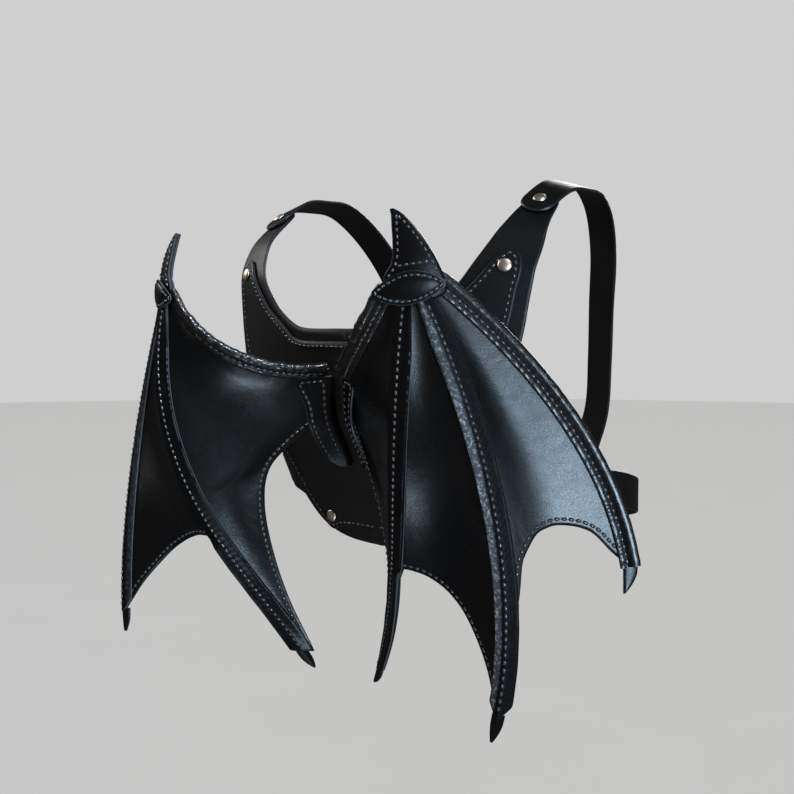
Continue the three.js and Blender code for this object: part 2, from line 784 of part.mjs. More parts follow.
// Point and outward direction on the round of the ribs, at a turn of 0 in front and 2 at the side.
function ribPoint(turn, z) {
  const angle = (turn * Math.PI) / 4;
  const depth = (torsoFront - backDepth(0, -ribLevel)) / 2;
  const centre = torsoFront - depth;
  const point = vector(torsoHalfWidth * Math.sin(angle), centre + depth * Math.cos(angle), z);
  const normal = vector(point.x / torsoHalfWidth ** 2, (point.y - centre) / depth ** 2, 0).normalize();
  return { point, normal };
}

// Rib strap: it starts behind the yoke at the base rivet, leaves the yoke's side and goes round to
// the clasp. Rows behind the yoke are shares of the base rivet's place; the others are the turn
// round the ribs and the height as a share of the rib level.
const behindRoute = [
  { out: 0.826, drop: 1.026 },
  { out: 1, drop: 1 },
  { out: 1.696, drop: 0.838 },
  { out: 2.217, drop: 0.761 },
];
const ribRoute = [
  { turn: 2.35, level: -0.74 },
  { turn: 1.95, level: -0.8 },
  { turn: 1.5, level: -0.88 },
  { turn: 1.05, level: -0.96 },
  { turn: 0.6, level: -1 },
  { turn: 0.25, level: -1 },
];

function ribStrapRoute() {
  const backs = behindRoute.map(({ out, drop }) => {
    const [x, z] = [out * baseRivetOut, -drop * baseRivetDrop];
    return { point: backPoint(x, z, -lapGap - gap - harnessLeather), normal: backNormal(x, z) };
  });
  const rounds = ribRoute.map(({ turn, level }) => ribPoint(turn, level * ribLevel));
  const seam = { point: rounds.at(-1).point.clone().setX(gap), normal: vector(0, 1, 0) };
  return [...backs, ...rounds, seam];
}

// Rivet: a domed cap, a post and a back cap, turned about its axis. Its seat is the outer face.
function rivetMesh(name, { point, axis, grip }) {
  const radius = rivetDiameter / 2;
  const under = -grip - 2 * rivetGap;
  const profile = [
    [0, under - 1],
    [radius * 0.85, under - 1],
    [radius * 0.9, under],
    [rivetPost / 2, under],
    [rivetPost / 2, rivetGap],
    [radius, rivetGap],
    [radius, rivetGap + 0.3 * rivetHeight],
    [radius * 0.75, rivetGap + 0.75 * rivetHeight],
    [radius * 0.35, rivetGap + rivetHeight],
    [0, rivetGap + rivetHeight],
  ].map(([x, y]) => new THREE.Vector2(x, y));
  const mesh = namedMesh(name, new THREE.LatheGeometry(profile, 10), "rivet");
  mesh.position.copy(point);
  mesh.quaternion.setFromUnitVectors(vector(0, 1, 0), axis);
  return mesh;
}

// Finishes
const finishes = {
  leather: { color: 0x15161a, roughness: 0.42, metalness: 0 },
  harness: { color: 0x17171a, roughness: 0.5, metalness: 0 },
  binding: { color: 0x241a18, roughness: 0.36, metalness: 0 },
  rivet: { color: 0xb9a795, roughness: 0.25, metalness: 1 },
  clasp: { color: 0x9a9ca0, roughness: 0.3, metalness: 1 },
};

function namedMesh(name, geometry, finish) {
  const mesh = new THREE.Mesh(geometry, new THREE.MeshStandardMaterial(finishes[finish]));
  mesh.name = name;
  return mesh;
}

function wingMeshes(side) {
  const grid = wingGrid(wings[side]);
  const normals = gridNormals(grid, (i, j) => (
    i >= 0 && j >= 0 && i < lastRows && j < outerColumn && isWingLeather(i, j)
  ));
  const leafGap = gap / 2;
  const pieces = {
    membrane: [sheetSolid(grid, -wingLeather / 2, wingLeather / 2, isWingLeather), "leather"],
    inner_bone: [boneStrip(grid, innerColumn, lastRows), "leather"],
    middle_bone: [boneStrip(grid, middleColumn, middleRows), "leather"],
    arm_binding: [edgeBinding(grid, armRows, 0, 1, normals, 0.25, 0.75), "binding"],
    outer_binding: [edgeBinding(grid, outerRows, outerColumn, outerColumn - 1, normals, 0.25, 1), "binding"],
    inner_claw: [boneClaw(grid, lastRows, innerColumn), "leather"],
    middle_claw: [boneClaw(grid, middleRows, middleColumn), "leather"],
    outer_claw: [boneClaw(grid, outerRows, outerColumn), "leather"],
    knuckle_patch: [knucklePatch(), "leather"],
    thumb_claw_outer: [thumbLeaf(leafGap), "leather"],
    thumb_claw_inner: [thumbLeaf(-leafGap - trimLeather), "leather"],
    root_tongue: [rootTongue(grid), "leather"],
  };
  return Object.entries(pieces).map(([name, [geometry, finish]]) => (
    namedMesh(`${side}_${name}`, side === "left" ? mirrored(geometry) : geometry, finish)
  ));
}

// Rivets in pairs: their places on the back or the ribs, and the thickness that each one grips.
function rivetSeats(sign) {
  const onBack = (x, z, outer, grip) => ({
    point: backPoint(sign * x, z, outer),
    axis: backNormal(sign * x, z),
    grip,
  });
  const rib = ribPoint(ribRivetTurn, -ribLevel);
  const outer = wingFace + lapGap - gap;
  return {
    horn_rivet: onBack(hornRivetOut, hornRivetRise, wingFace, wingFace),
    base_rivet: onBack(baseRivetOut, -baseRivetDrop, wingFace, wingFace + lapGap + harnessLeather),
    shoulder_rivet: onBack(shoulderRivetOut, shoulderRivetRise, outer, outer),
    rib_rivet: {
      point: rib.point.clone().addScaledVector(rib.normal, outer).multiply(vector(sign, 1, 1)),
      axis: rib.normal.clone().multiply(vector(sign, 1, 1)),
      grip: outer,
    },
  };
}

function harnessMeshes() {
  const seats = { right: rivetSeats(1), left: rivetSeats(-1) };
  const both = (...names) => names.flatMap((name) => [seats.right[name], seats.left[name]]);
  const plateCutter = outlineCutter(plateOutline, plateHalfWidth, plateHeight, plateTop);
  const yokeCutter = outlineCutter(yokeOutline, yokeHalfWidth, yokeHeight, yokeTop);
  const yoke = harnessLayer(0, yokeCutter, both("horn_rivet", "base_rivet", "shoulder_rivet"));
  const plate = harnessLayer(harnessLeather + gap, plateCutter, both("horn_rivet", "base_rivet"));
  const { right } = seats;
  const shoulder = strapSolid(shoulderStrapRoute(), 20, harnessLeather + lapGap, true, true);
  const rib = strapSolid(ribStrapRoute(), 20, 0, true, false);
  const shoulderStrap = withHoles(shoulder, [right.shoulder_rivet, right.rib_rivet]);
  const ribStrap = withHoles(rib, [right.base_rivet, right.rib_rivet]);
  const claspShape = new THREE.Shape([
    new THREE.Vector2(-claspWidth / 2, -claspHeight / 2),
    new THREE.Vector2(claspWidth / 2, -claspHeight / 2),
    new THREE.Vector2(claspWidth / 2, claspHeight / 2),
    new THREE.Vector2(-claspWidth / 2, claspHeight / 2),
  ]);
  const clasp = new THREE.ExtrudeGeometry(claspShape, { depth: claspThickness, bevelEnabled: false });
  ribStrap.computeBoundingBox();
  clasp.rotateX(Math.PI / 2);
  clasp.translate(0, ribStrap.boundingBox.max.y + gap + claspThickness, -ribLevel);
  const meshes = [
    namedMesh("yoke", yoke, "harness"),
    namedMesh("back_plate", plate, "harness"),
    namedMesh("right_shoulder_strap", shoulderStrap, "harness"),
    namedMesh("left_shoulder_strap", mirrored(shoulderStrap), "harness"),
    namedMesh("right_rib_strap", ribStrap, "harness"),
    namedMesh("left_rib_strap", mirrored(ribStrap), "harness"),
    namedMesh("front_clasp", clasp, "clasp"),
  ];
  Object.entries(seats).forEach(([side, rivets]) => {
    Object.entries(rivets).forEach(([name, seat]) => meshes.push(rivetMesh(`${side}_${name}`, seat)));
  });
  return meshes;
}

const group = new THREE.Group();
group.add(...wingMeshes("right"), ...wingMeshes("left"), ...harnessMeshes());

export default group;
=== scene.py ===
# Dragon wings for a costume in black stitched leather, on the leather harness that carries them.
# Shapes are worked out in millimetres: +X the wearer's right, +Y the wearer's front, +Z up.
import json
import math

import bpy
import numpy as np
from mathutils import Matrix, Vector


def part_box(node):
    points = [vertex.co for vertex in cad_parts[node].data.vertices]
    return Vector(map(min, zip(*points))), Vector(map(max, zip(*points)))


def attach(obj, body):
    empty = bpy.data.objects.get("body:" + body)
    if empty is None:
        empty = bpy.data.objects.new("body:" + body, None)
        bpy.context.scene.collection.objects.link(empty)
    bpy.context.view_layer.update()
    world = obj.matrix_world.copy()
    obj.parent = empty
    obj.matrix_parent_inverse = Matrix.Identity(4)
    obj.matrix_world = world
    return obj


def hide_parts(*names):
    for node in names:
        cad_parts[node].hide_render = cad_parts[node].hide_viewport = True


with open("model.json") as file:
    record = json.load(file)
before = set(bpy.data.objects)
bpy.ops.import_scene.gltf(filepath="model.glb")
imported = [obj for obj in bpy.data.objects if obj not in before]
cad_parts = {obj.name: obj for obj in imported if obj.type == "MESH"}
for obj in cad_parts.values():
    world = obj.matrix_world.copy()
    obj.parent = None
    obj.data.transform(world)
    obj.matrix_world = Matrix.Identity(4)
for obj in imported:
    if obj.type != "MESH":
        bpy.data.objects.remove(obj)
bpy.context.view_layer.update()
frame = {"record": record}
mm = 0.001
record = frame["record"]


# Curves and surfaces

# Curve through a table's rows: cubic Hermite pieces whose slope at a row is the harmonic mean of
# the slopes beside it, or zero where those differ in sign.
def tableCurve(places, values, at):
    places = np.asarray(places, float)
    values = np.asarray(values, float)
    at = np.asarray(at, float)
    steps = np.diff(places)
    slopes = np.diff(values) / steps
    product = slopes[1:] * slopes[:-1]
    total = np.where(product > 0, slopes[1:] + slopes[:-1], 1)
    middle = np.where(product > 0, 2 * product / total, 0)
    tangents = np.concatenate([slopes[:1], middle, slopes[-1:]])
    k = np.clip(np.searchsorted(places, at, side="right") - 1, 0, len(steps) - 1)
    t = np.clip((at - places[k]) / steps[k], 0, 1)
    rise = t * t * (3 - 2 * t)
    bend = steps[k] * t * (1 - t) * ((1 - t) * tangents[k] - t * tangents[k + 1])
    return (1 - rise) * values[k] + rise * values[k + 1] + bend


# Cubic Bezier: the four control points weighted by the terms of (1 - t + t) cubed.
def bezier(points, t):
    t = np.asarray(t, float)[..., None]
    a, b, c, d = points
    return (1 - t) ** 3 * a + 3 * (1 - t) ** 2 * t * b + 3 * (1 - t) * t ** 2 * c + t ** 3 * d


# Centripetal Catmull-Rom curve: Hermite pieces through the points, whose tangents come from
# divided differences over the square roots of the distances. t runs evenly over the pieces.
def smoothCurve(points, t):
    points = np.asarray(points, float)
    first = 2 * points[:1] - points[1:2]
    last = 2 * points[-1:] - points[-2:-1]
    padded = np.vstack([first, points, last])
    place = np.clip(np.asarray(t, float), 0, 1) * (len(points) - 1)
    k = np.minimum(place.astype(int), len(points) - 2)
    w = (place - k)[:, None]
    a, b, c, d = (padded[k + shift] for shift in range(4))
    ab, bc, cd = (np.sqrt(length(q - p)) for p, q in ((a, b), (b, c), (c, d)))
    leave = ((b - a) / ab - (c - a) / (ab + bc) + (c - b) / bc) * bc
    arrive = ((c - b) / bc - (d - b) / (bc + cd) + (d - c) / cd) * bc
    square, cube = w * w, w * w * w
    return (
        (2 * cube - 3 * square + 1) * b + (cube - 2 * square + w) * leave
        + (3 * square - 2 * cube) * c + (cube - square) * arrive
    )


def length(vectors):
    return np.linalg.norm(vectors, axis=-1, keepdims=True)


def unit(vectors):
    return vectors / np.maximum(length(vectors), 1e-9)


def mix(a, b, t):
    return a + (b - a) * t


# Distance run along a polyline at each of its points.
def runLength(path):
    return np.concatenate([[0], np.cumsum(length(np.diff(path, axis=0))[:, 0])])


def pathTangents(path):
    return unit(np.gradient(path, axis=0))


# Values carried by a path's points, at given distances along it.
def alongPath(path, values, distances):
    run = runLength(path)
    return np.stack([np.interp(distances, run, values[:, k]) for k in range(values.shape[1])], axis=1)


# Quads of a grid, as rows of corner numbers.
def gridQuads(rows, columns, first=0):
    corner = first + np.arange(rows * columns).reshape(rows, columns)
    return np.stack([corner[:-1, :-1], corner[1:, :-1], corner[1:, 1:], corner[:-1, 1:]], -1).reshape(-1, 4)


# Patches with shared edges as one set of points and quads: points that agree to a hundredth of a
# millimetre become one, and quads that lost a corner keep three.
def joinPatches(patches):
    points = np.vstack([grid.reshape(-1, 3) for grid in patches])
    starts = np.cumsum([0] + [grid.shape[0] * grid.shape[1] for grid in patches])
    quads = np.vstack([gridQuads(g.shape[0], g.shape[1], s) for g, s in zip(patches, starts)])
    keys, firsts, where = np.unique(np.round(points * 100), axis=0, return_index=True, return_inverse=True)
    where = where.reshape(-1)
    quads = where[quads]
    corners = np.sort(quads, axis=1)
    distinct = 1 + (np.diff(corners, axis=1) > 0).sum(1)
    return points[firsts], quads[distinct >= 3], where


# Mean of the face normals round each point, lengthened at a crease so that a layer that is raised
# along it keeps its thickness.
def creaseNormals(points, quads):
    corner = points[quads]
    normals = unit(np.cross(corner[:, 2] - corner[:, 0], corner[:, 3] - corner[:, 1]))
    total = np.zeros_like(points)
    count = np.zeros(len(points))
    for k in range(4):
        np.add.at(total, quads[:, k], normals)
        np.add.at(count, quads[:, k], 1)
    mean = unit(total)
    slant = (total * mean).sum(1) / np.maximum(count, 1)
    return mean / np.maximum(slant, 0.5)[:, None]


# Sheet of leather about a surface: the surface raised to two heights, joined round its open edges
# by a half round rim. Returns points, faces, and how far each point belongs to the cut edge.
def thickSheet(points, quads, low, high, bulge=0.3):
    normals = creaseNormals(points, quads)
    low = np.broadcast_to(low, len(points))
    high = np.broadcast_to(high, len(points))
    starts = quads.reshape(-1)
    ends = np.roll(quads, -1, axis=1).reshape(-1)
    real = starts != ends
    starts, ends = starts[real], ends[real]
    open_ = ~np.isin(starts * len(points) + ends, ends * len(points) + starts)
    starts, ends = starts[open_], ends[open_]
    edgeOut = unit(np.cross(points[ends] - points[starts], unit(normals[starts])))
    outward = np.zeros_like(points)
    np.add.at(outward, starts, edgeOut)
    np.add.at(outward, ends, edgeOut)
    rim = np.unique(np.concatenate([starts, ends]))
    spot = np.full(len(points), -1)
    spot[rim] = np.arange(len(rim))
    side = unit(outward[rim])
    thickness = (high - low)[rim][:, None]
    rings = []
    for share in (0.86, 0.5, 0.14):
        height = mix(low[rim], high[rim], share)[:, None]
        width = bulge * thickness * math.sin(math.pi * share)
        rings.append(points[rim] + normals[rim] * height + side * width)
    count = len(points)
    layers = [points + normals * high[:, None], points + normals * low[:, None]]
    first = [count * 2 + len(rim) * k for k in range(3)]
    levels = [lambda k: k, *[(lambda k, start=start: start + spot[k]) for start in first], lambda k: count + k]
    walls = [
        np.stack([upper(starts), lower(starts), lower(ends), upper(ends)], -1)
        for upper, lower in zip(levels[:-1], levels[1:])
    ]
    faces = np.vstack([quads, count + quads[:, ::-1], *walls])
    edge = np.concatenate([np.zeros(2 * count), np.ones(3 * len(rim))])
    return np.vstack([*layers, *rings]), faces, edge


def gridSheet(grid, low, high, bulge=0.3):
    rows, columns = grid.shape[:2]
    low = np.broadcast_to(low, (rows, columns)).reshape(-1)
    high = np.broadcast_to(high, (rows, columns)).reshape(-1)
    return thickSheet(grid.reshape(-1, 3), gridQuads(rows, columns), low, high, bulge)


def gridNormals(grid):
    rows, columns = grid.shape[:2]
    normals = creaseNormals(grid.reshape(-1, 3), gridQuads(rows, columns))
    return unit(normals).reshape(rows, columns, 3)


# Closed tube: one ring of points for each station, quads between them, and fans at both ends.
def closedTube(rings):
    rows, columns = rings.shape[:2]
    corner = np.arange(rows * columns).reshape(rows, columns)
    after = np.roll(corner, -1, axis=1)
    sides = np.stack([corner[:-1], after[:-1], after[1:], corner[1:]], -1).reshape(-1, 4)
    centres = rings[[0, -1]].mean(1)
    start, end = rows * columns, rows * columns + 1
    caps = np.vstack([
        np.stack([np.full(columns, start), after[0], corner[0], corner[0]], -1),
        np.stack([np.full(columns, end), corner[-1], after[-1], after[-1]], -1),
    ])
    return np.vstack([rings.reshape(-1, 3), centres]), np.vstack([sides, caps])


# Pieces

allPieces = {}


def flipped(points, faces):
    return points * np.array([-1, 1, 1]), faces[:, ::-1]


# Mesh object from points in millimetres and faces of four corner numbers, of which the last two
# agree in a triangle.
def addPiece(name, points, faces, material, slot, edge=None, replaces=(), sharp=50, scuffed=None):
    mesh = bpy.data.meshes.new(name)
    repeats = (faces == np.roll(faces, -1, axis=1))
    sizes = 4 - repeats.sum(1)
    kept = faces[~repeats]
    mesh.vertices.add(len(points))
    mesh.vertices.foreach_set("co", (points * mm).astype(np.float32).ravel())
    mesh.loops.add(len(kept))
    mesh.loops.foreach_set("vertex_index", kept.astype(np.int32))
    mesh.polygons.add(len(sizes))
    mesh.polygons.foreach_set("loop_start", (np.cumsum(sizes) - sizes).astype(np.int32))
    mesh.update(calc_edges=True)
    mesh.validate()
    for mark, values in (("edge", edge), ("scuffed", scuffed)):
        if values is not None:
            attribute = mesh.attributes.new(mark, "FLOAT", "POINT")
            attribute.data.foreach_set("value", values.astype(np.float32))
    mesh.polygons.foreach_set("use_smooth", np.ones(len(mesh.polygons), bool))
    mesh.set_sharp_from_angle(angle=math.radians(sharp))
    mesh.materials.append(material)
    piece = bpy.data.objects.new(name, mesh)
    bpy.context.scene.collection.objects.link(piece)
    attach(piece, "root")
    if replaces:
        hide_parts(*replaces)
    allPieces[name] = piece
    return piece


# Materials

# Output of a node. Arithmetic on it adds Math nodes.
class Wire:
    def __init__(self, tree, socket):
        self.tree = tree
        self.socket = socket

    def math(self, operation, left, right):
        return addNode(self.tree, "ShaderNodeMath", {"operation": operation}, {0: left, 1: right})

    def __add__(self, other):
        return self.math("ADD", self, other)

    def __radd__(self, other):
        return self.math("ADD", other, self)

    def __sub__(self, other):
        return self.math("SUBTRACT", self, other)

    def __rsub__(self, other):
        return self.math("SUBTRACT", other, self)

    def __mul__(self, other):
        return self.math("MULTIPLY", self, other)

    def __rmul__(self, other):
        return self.math("MULTIPLY", other, self)

    def __pow__(self, other):
        return self.math("POWER", self, other)


# One node: its settings are set first, then its sockets get values or links. Returns the output.
def addNode(tree, kind, settings, sockets, output=0):
    node = tree.nodes.new(kind)
    stops = settings.pop("stops", None)
    for key, value in settings.items():
        setattr(node, key, value)
    if stops:
        ramp = node.color_ramp
        ramp.elements[0].position, ramp.elements[1].position = stops[0][0], stops[-1][0]
        for place, _ in stops[1:-1]:
            ramp.elements.new(place)
        for element, (_, shade) in zip(ramp.elements, stops):
            element.color = (shade, shade, shade, 1)
    for key, value in sockets.items():
        if isinstance(value, Wire):
            tree.links.new(value.socket, node.inputs[key])
        else:
            node.inputs[key].default_value = value
    return Wire(tree, node.outputs[output])


def newMaterial(name, color, **fixed):
    material = bpy.data.materials.new(name)
    material.use_nodes = True
    material.diffuse_color = (*color, 1)
    tree = material.node_tree
    shader = tree.nodes["Principled BSDF"]
    for key, value in fixed.items():
        shader.inputs[key.replace("_", " ")].default_value = value
    place = addNode(tree, "ShaderNodeTexCoord", {}, {}, "Object")
    return material, tree, shader, place


def noise(tree, place, scale, detail=4, roughness=0.55, distortion=0):
    sockets = {"Vector": place, "Scale": scale, "Detail": detail, "Roughness": roughness}
    return addNode(tree, "ShaderNodeTexNoise", {}, {**sockets, "Distortion": distortion})


def ramp(tree, value, stops):
    return addNode(tree, "ShaderNodeValToRGB", {"stops": stops}, {"Fac": value})


def blend(tree, factor, a, b):
    sockets = {"Factor": factor, 6: (*a, 1) if isinstance(a, tuple) else a, 7: (*b, 1) if isinstance(b, tuple) else b}
    return addNode(tree, "ShaderNodeMix", {"data_type": "RGBA"}, sockets, 2)


def bump(tree, height, strength, distance, normal=None):
    sockets = {"Height": height, "Strength": strength, "Distance": distance}
    if normal is not None:
        sockets["Normal"] = normal
    return addNode(tree, "ShaderNodeBump", {}, sockets)


# Black leather: colour drifts between the black and a warmer black, the pores roughen the gloss,
# grain and creases are bumps, the cut edge is painted lighter as a burnished edge with a painted highlight, and the
# pale half of a strip is painted as scuffing with a painted highlight.
def leatherMaterial(name, look):
    material, tree, shader, place = newMaterial(name, look["black"], **{
        "Specular_IOR_Level": look["specular"], "Coat_Roughness": look["coatRoughness"],
    })
    drift = ramp(tree, noise(tree, place, look["driftScale"], 3), [(0.35, 0), (0.7, 1)])
    grain = noise(tree, place, look["grainScale"], 3, 0.55)
    pores = addNode(tree, "ShaderNodeTexVoronoi", {"feature": "F1"}, {"Vector": place, "Scale": look["poreScale"]})
    creases = noise(tree, place, look["creaseScale"], 5, 0.5, 0.8)
    edge = addNode(tree, "ShaderNodeAttribute", {"attribute_name": "edge"}, {}, "Fac")
    worn = ramp(tree, noise(tree, place, look["wornScale"], 8, 0.75), [(0.5, 0), (0.72, 1)])
    color = blend(tree, drift, look["black"], look["warm"])
    color = blend(tree, worn * look["worn"], color, look["scuff"])
    scuffed = addNode(tree, "ShaderNodeAttribute", {"attribute_name": "scuffed"}, {}, "Fac")
    pale = scuffed.math("MAXIMUM", scuffed, 0)
    dull = scuffed.math("MAXIMUM", scuffed * -1, 0)
    # Painted highlight: the marked half of the middle strip is painted pale bluish grey where worn, partly real
    # scuffing, partly the sheen of light on it.
    color = blend(tree, pale * (0.1 + worn * 0.9), color, look["scuffed"])
    # Painted highlight: the cut rim is painted a lighter, bluish black for the light line a bevel catches, partly a
    # burnished edge.
    color = blend(tree, edge * look["edgeHighlightShow"], color, look["edge"])
    tree.links.new(color.socket, shader.inputs["Base Color"])
    rough = look["roughness"] + (grain - 0.5) * look["grainRough"] + drift * look["driftRough"]
    rough = rough + worn * look["wornRough"] - edge * 0.06 + dull * 0.36
    tree.links.new(rough.socket, shader.inputs["Roughness"])
    coat = look["coat"] * (1 - worn * 0.7)
    tree.links.new(coat.socket, shader.inputs["Coat Weight"])
    folded = bump(tree, creases, look["creaseDepth"], 0.0022)
    grained = bump(tree, grain * 0.6 + pores * 0.4, look["grainDepth"], 0.0007, folded)
    tree.links.new(grained.socket, shader.inputs["Normal"])
    return material


# Each look's edge colour paints a highlight along the cut rim as well as a burnished edge; the pale scuff colour for a
# strip's half paints scuffing with a painted highlight.
wingLook = {
    "black": (0.0013, 0.0014, 0.0017), "warm": (0.0028, 0.0021, 0.0019), "scuff": (0.006, 0.007, 0.009),
    "edge": (0.012, 0.013, 0.016), "edgeHighlightShow": 0.8, "scuffed": (0.42, 0.46, 0.52), "specular": 0.29,
    "roughness": 0.28, "grainRough": 0.26,
    "driftRough": 0.05, "wornRough": 0.06, "coat": 0.05, "coatRoughness": 0.3, "worn": 0.1,
    "driftScale": 14, "grainScale": 1100, "poreScale": 1500, "creaseScale": 45, "wornScale": 320,
    "creaseDepth": 0.16, "grainDepth": 0.14,
}
stripLook = {
    **wingLook, "scuff": (0.012, 0.0135, 0.017), "worn": 0.5, "wornScale": 380, "grainScale": 620,
    "grainDepth": 0.8, "grainRough": 0.7, "roughness": 0.34, "creaseScale": 150, "creaseDepth": 0.3,
    "specular": 0.1, "edge": (0.075, 0.082, 0.095),
}
trimLook = {**wingLook, "specular": 0.12, "roughness": 0.3, "edge": (0.045, 0.05, 0.058)}
bindingLook = {
    **stripLook, "specular": 0.29, "black": (0.002, 0.0019, 0.002), "warm": (0.006, 0.0036, 0.0028), "coat": 0.4, "coatRoughness": 0.16,
    "roughness": 0.33, "creaseScale": 190, "creaseDepth": 0.4, "grainDepth": 0.45, "worn": 0.25,
    "edge": (0.018, 0.0105, 0.008),
}
harnessLook = {
    **wingLook, "black": (0.0018, 0.0018, 0.0018), "warm": (0.006, 0.0042, 0.0032), "roughness": 0.42,
    "edge": (0.013, 0.014, 0.017), "coat": 0.03, "driftScale": 9, "grainDepth": 0.25, "creaseDepth": 0.06, "worn": 0.08,
}
wingLeather = leatherMaterial("wing leather", wingLook)
stripLeather = leatherMaterial("strip leather", stripLook)
trimLeather = leatherMaterial("trim leather", trimLook)
bindingLeather = leatherMaterial("binding leather", bindingLook)
harnessLeather = leatherMaterial("harness leather", harnessLook)


# Waxed thread: twisted plies as fine waves, glossy.
def threadMaterial():
    material, tree, shader, place = newMaterial("waxed thread", (0.03, 0.031, 0.035), Coat_Weight=0.6, Coat_Roughness=0.15)
    plies = noise(tree, place, 1400, 3)
    color = blend(tree, plies, (0.012, 0.013, 0.015), (0.07, 0.073, 0.08))
    tree.links.new(color.socket, shader.inputs["Base Color"])
    tree.links.new((0.14 + plies * 0.16).socket, shader.inputs["Roughness"])
    tree.links.new(bump(tree, plies, 0.4, 0.0003).socket, shader.inputs["Normal"])
    return material


# Near-black colour of the discs round the stitches: painted shade of the stitch dimples.
def holeShadeMaterial():
    material, tree, shader, place = newMaterial("stitch hole", (0.002, 0.002, 0.002), Roughness=0.9)
    color = blend(tree, noise(tree, place, 900, 2), (0.001, 0.001, 0.001), (0.004, 0.004, 0.004))
    tree.links.new(color.socket, shader.inputs["Base Color"])
    return material


# Metal: fine rubbed marks in the roughness, a slight colour drift.
def metalMaterial(name, color, tint, roughness):
    material, tree, shader, place = newMaterial(name, color, Metallic=1.0)
    marks = noise(tree, place, 420, 6, 0.7)
    shade = blend(tree, noise(tree, place, 160, 3), color, tint)
    tree.links.new(shade.socket, shader.inputs["Base Color"])
    tree.links.new((roughness + (marks - 0.5) * 0.16).socket, shader.inputs["Roughness"])
    tree.links.new(bump(tree, marks, 0.08, 0.0003).socket, shader.inputs["Normal"])
    return material


thread = threadMaterial()
holeShade = holeShadeMaterial()
nickel = metalMaterial("warm nickel", (0.88, 0.74, 0.6), (0.78, 0.6, 0.46), 0.4)
claspMetal = metalMaterial("clasp metal", (0.5, 0.5, 0.52), (0.4, 0.4, 0.41), 0.32)
print("materials ready")


# Stitches

stitch = {
    "pitch": 4.8, "length": 2.9, "width": 1.5, "height": 1.2, "dimpleLength": 4.3, "dimpleWidth": 2.6,
    "rings": 7, "sides": 8,
}


# Row of stitches along a path on a surface: each is a capsule whose half width goes with the
# fourth-power dome of the place along it, half sunk in the leather, over a flat near-black disc that paints the shade
# of its dimple.
def stitchRow(path, normals, pitch=None, start=2.0, end=2.0, size=1.0):
    pitch = pitch or stitch["pitch"]
    total = runLength(path)[-1] - start - end
    count = max(1, round(total / pitch))
    places = start + (np.arange(count) + 0.5) * total / count
    centres = alongPath(path, path, places)
    run = unit(alongPath(path, path, places + 0.4) - alongPath(path, path, places - 0.4))
    up = alongPath(path, normals, places)
    up = unit(up - run * (up * run).sum(1, keepdims=True))
    across = np.cross(up, run)
    t = np.linspace(-1, 1, stitch["rings"])
    turn = np.arange(stitch["sides"]) * 2 * math.pi / stitch["sides"]
    half = np.sqrt(np.clip(1 - t ** 4, 0.02, 1))
    along = 0.5 * stitch["length"] * size * t[:, None] * np.ones_like(turn)
    sideways = 0.5 * stitch["width"] * size * half[:, None] * np.cos(turn)
    upward = stitch["height"] * size * half[:, None] * (0.22 + 0.6 * np.sin(turn)) - 0.1
    local = np.stack([along, sideways, upward], -1).reshape(1, -1, 3)
    axes = np.stack([run, across, up], 1)
    threads = centres[:, None, :] + local @ axes
    # Painted shade: a flat dark disc just above the leather round each stitch stands in for the shade in its dimple.
    spin = np.arange(8) * math.pi / 4
    ring = 0.5 * size * np.stack([stitch["dimpleLength"] * np.cos(spin), stitch["dimpleWidth"] * np.sin(spin),
                                  0 * spin], -1)
    ring[:, 2] = 0.05
    dimpleShades = centres[:, None, :] + ring[None] @ axes
    return threads.reshape(count, stitch["rings"], stitch["sides"], 3), dimpleShades


def addStitches(name, rows, mirror=False):
    threads = np.concatenate([row[0] for row in rows])
    # The dark discs of painted dimple shade become a piece of their own.
    holeShades = np.concatenate([row[1] for row in rows])
    count, rings, sides = threads.shape[:3]
    corner = np.arange(rings * sides).reshape(rings, sides)
    after = np.roll(corner, -1, axis=1)
    body = np.stack([corner[:-1], corner[1:], after[1:], after[:-1]], -1).reshape(-1, 4)
    ends = np.array([[0, 1, 2, 7], [2, 3, 6, 7], [3, 4, 5, 6]])
    last = (rings - 1) * sides
    body = np.vstack([body, ends, last + ends[:, ::-1]])
    faces = (body[None] + (np.arange(count) * rings * sides)[:, None, None]).reshape(-1, 4)
    points = threads.reshape(-1, 3)
    disc = np.array([[0, 1, 2, 3], [0, 3, 4, 7], [4, 5, 6, 7]])
    holeShadeFaces = (disc[None] + (np.arange(len(holeShades)) * 8)[:, None, None]).reshape(-1, 4)
    holeShadePoints = holeShades.reshape(-1, 3)
    if mirror:
        points, faces = flipped(points, faces)
        holeShadePoints, holeShadeFaces = flipped(holeShadePoints, holeShadeFaces)
    slot = "wing_leather" if "Wing" in name else "harness_leather"
    addPiece(name, points, faces, thread, slot, sharp=80)
    addPiece(name + "HoleShades", holeShadePoints, holeShadeFaces, holeShade, slot, sharp=80)


# Line that runs inside an edge of a grid, at a distance from it: the edge is moved along the sheet,
# square to itself, towards the next line of the grid. The normals come with it.
def insetLine(edge, inner, normals, distance, lift):
    run = pathTangents(edge)
    inward = inner - edge
    inward = unit(inward - run * (inward * run).sum(1, keepdims=True))
    return edge + inward * distance + normals * lift, normals


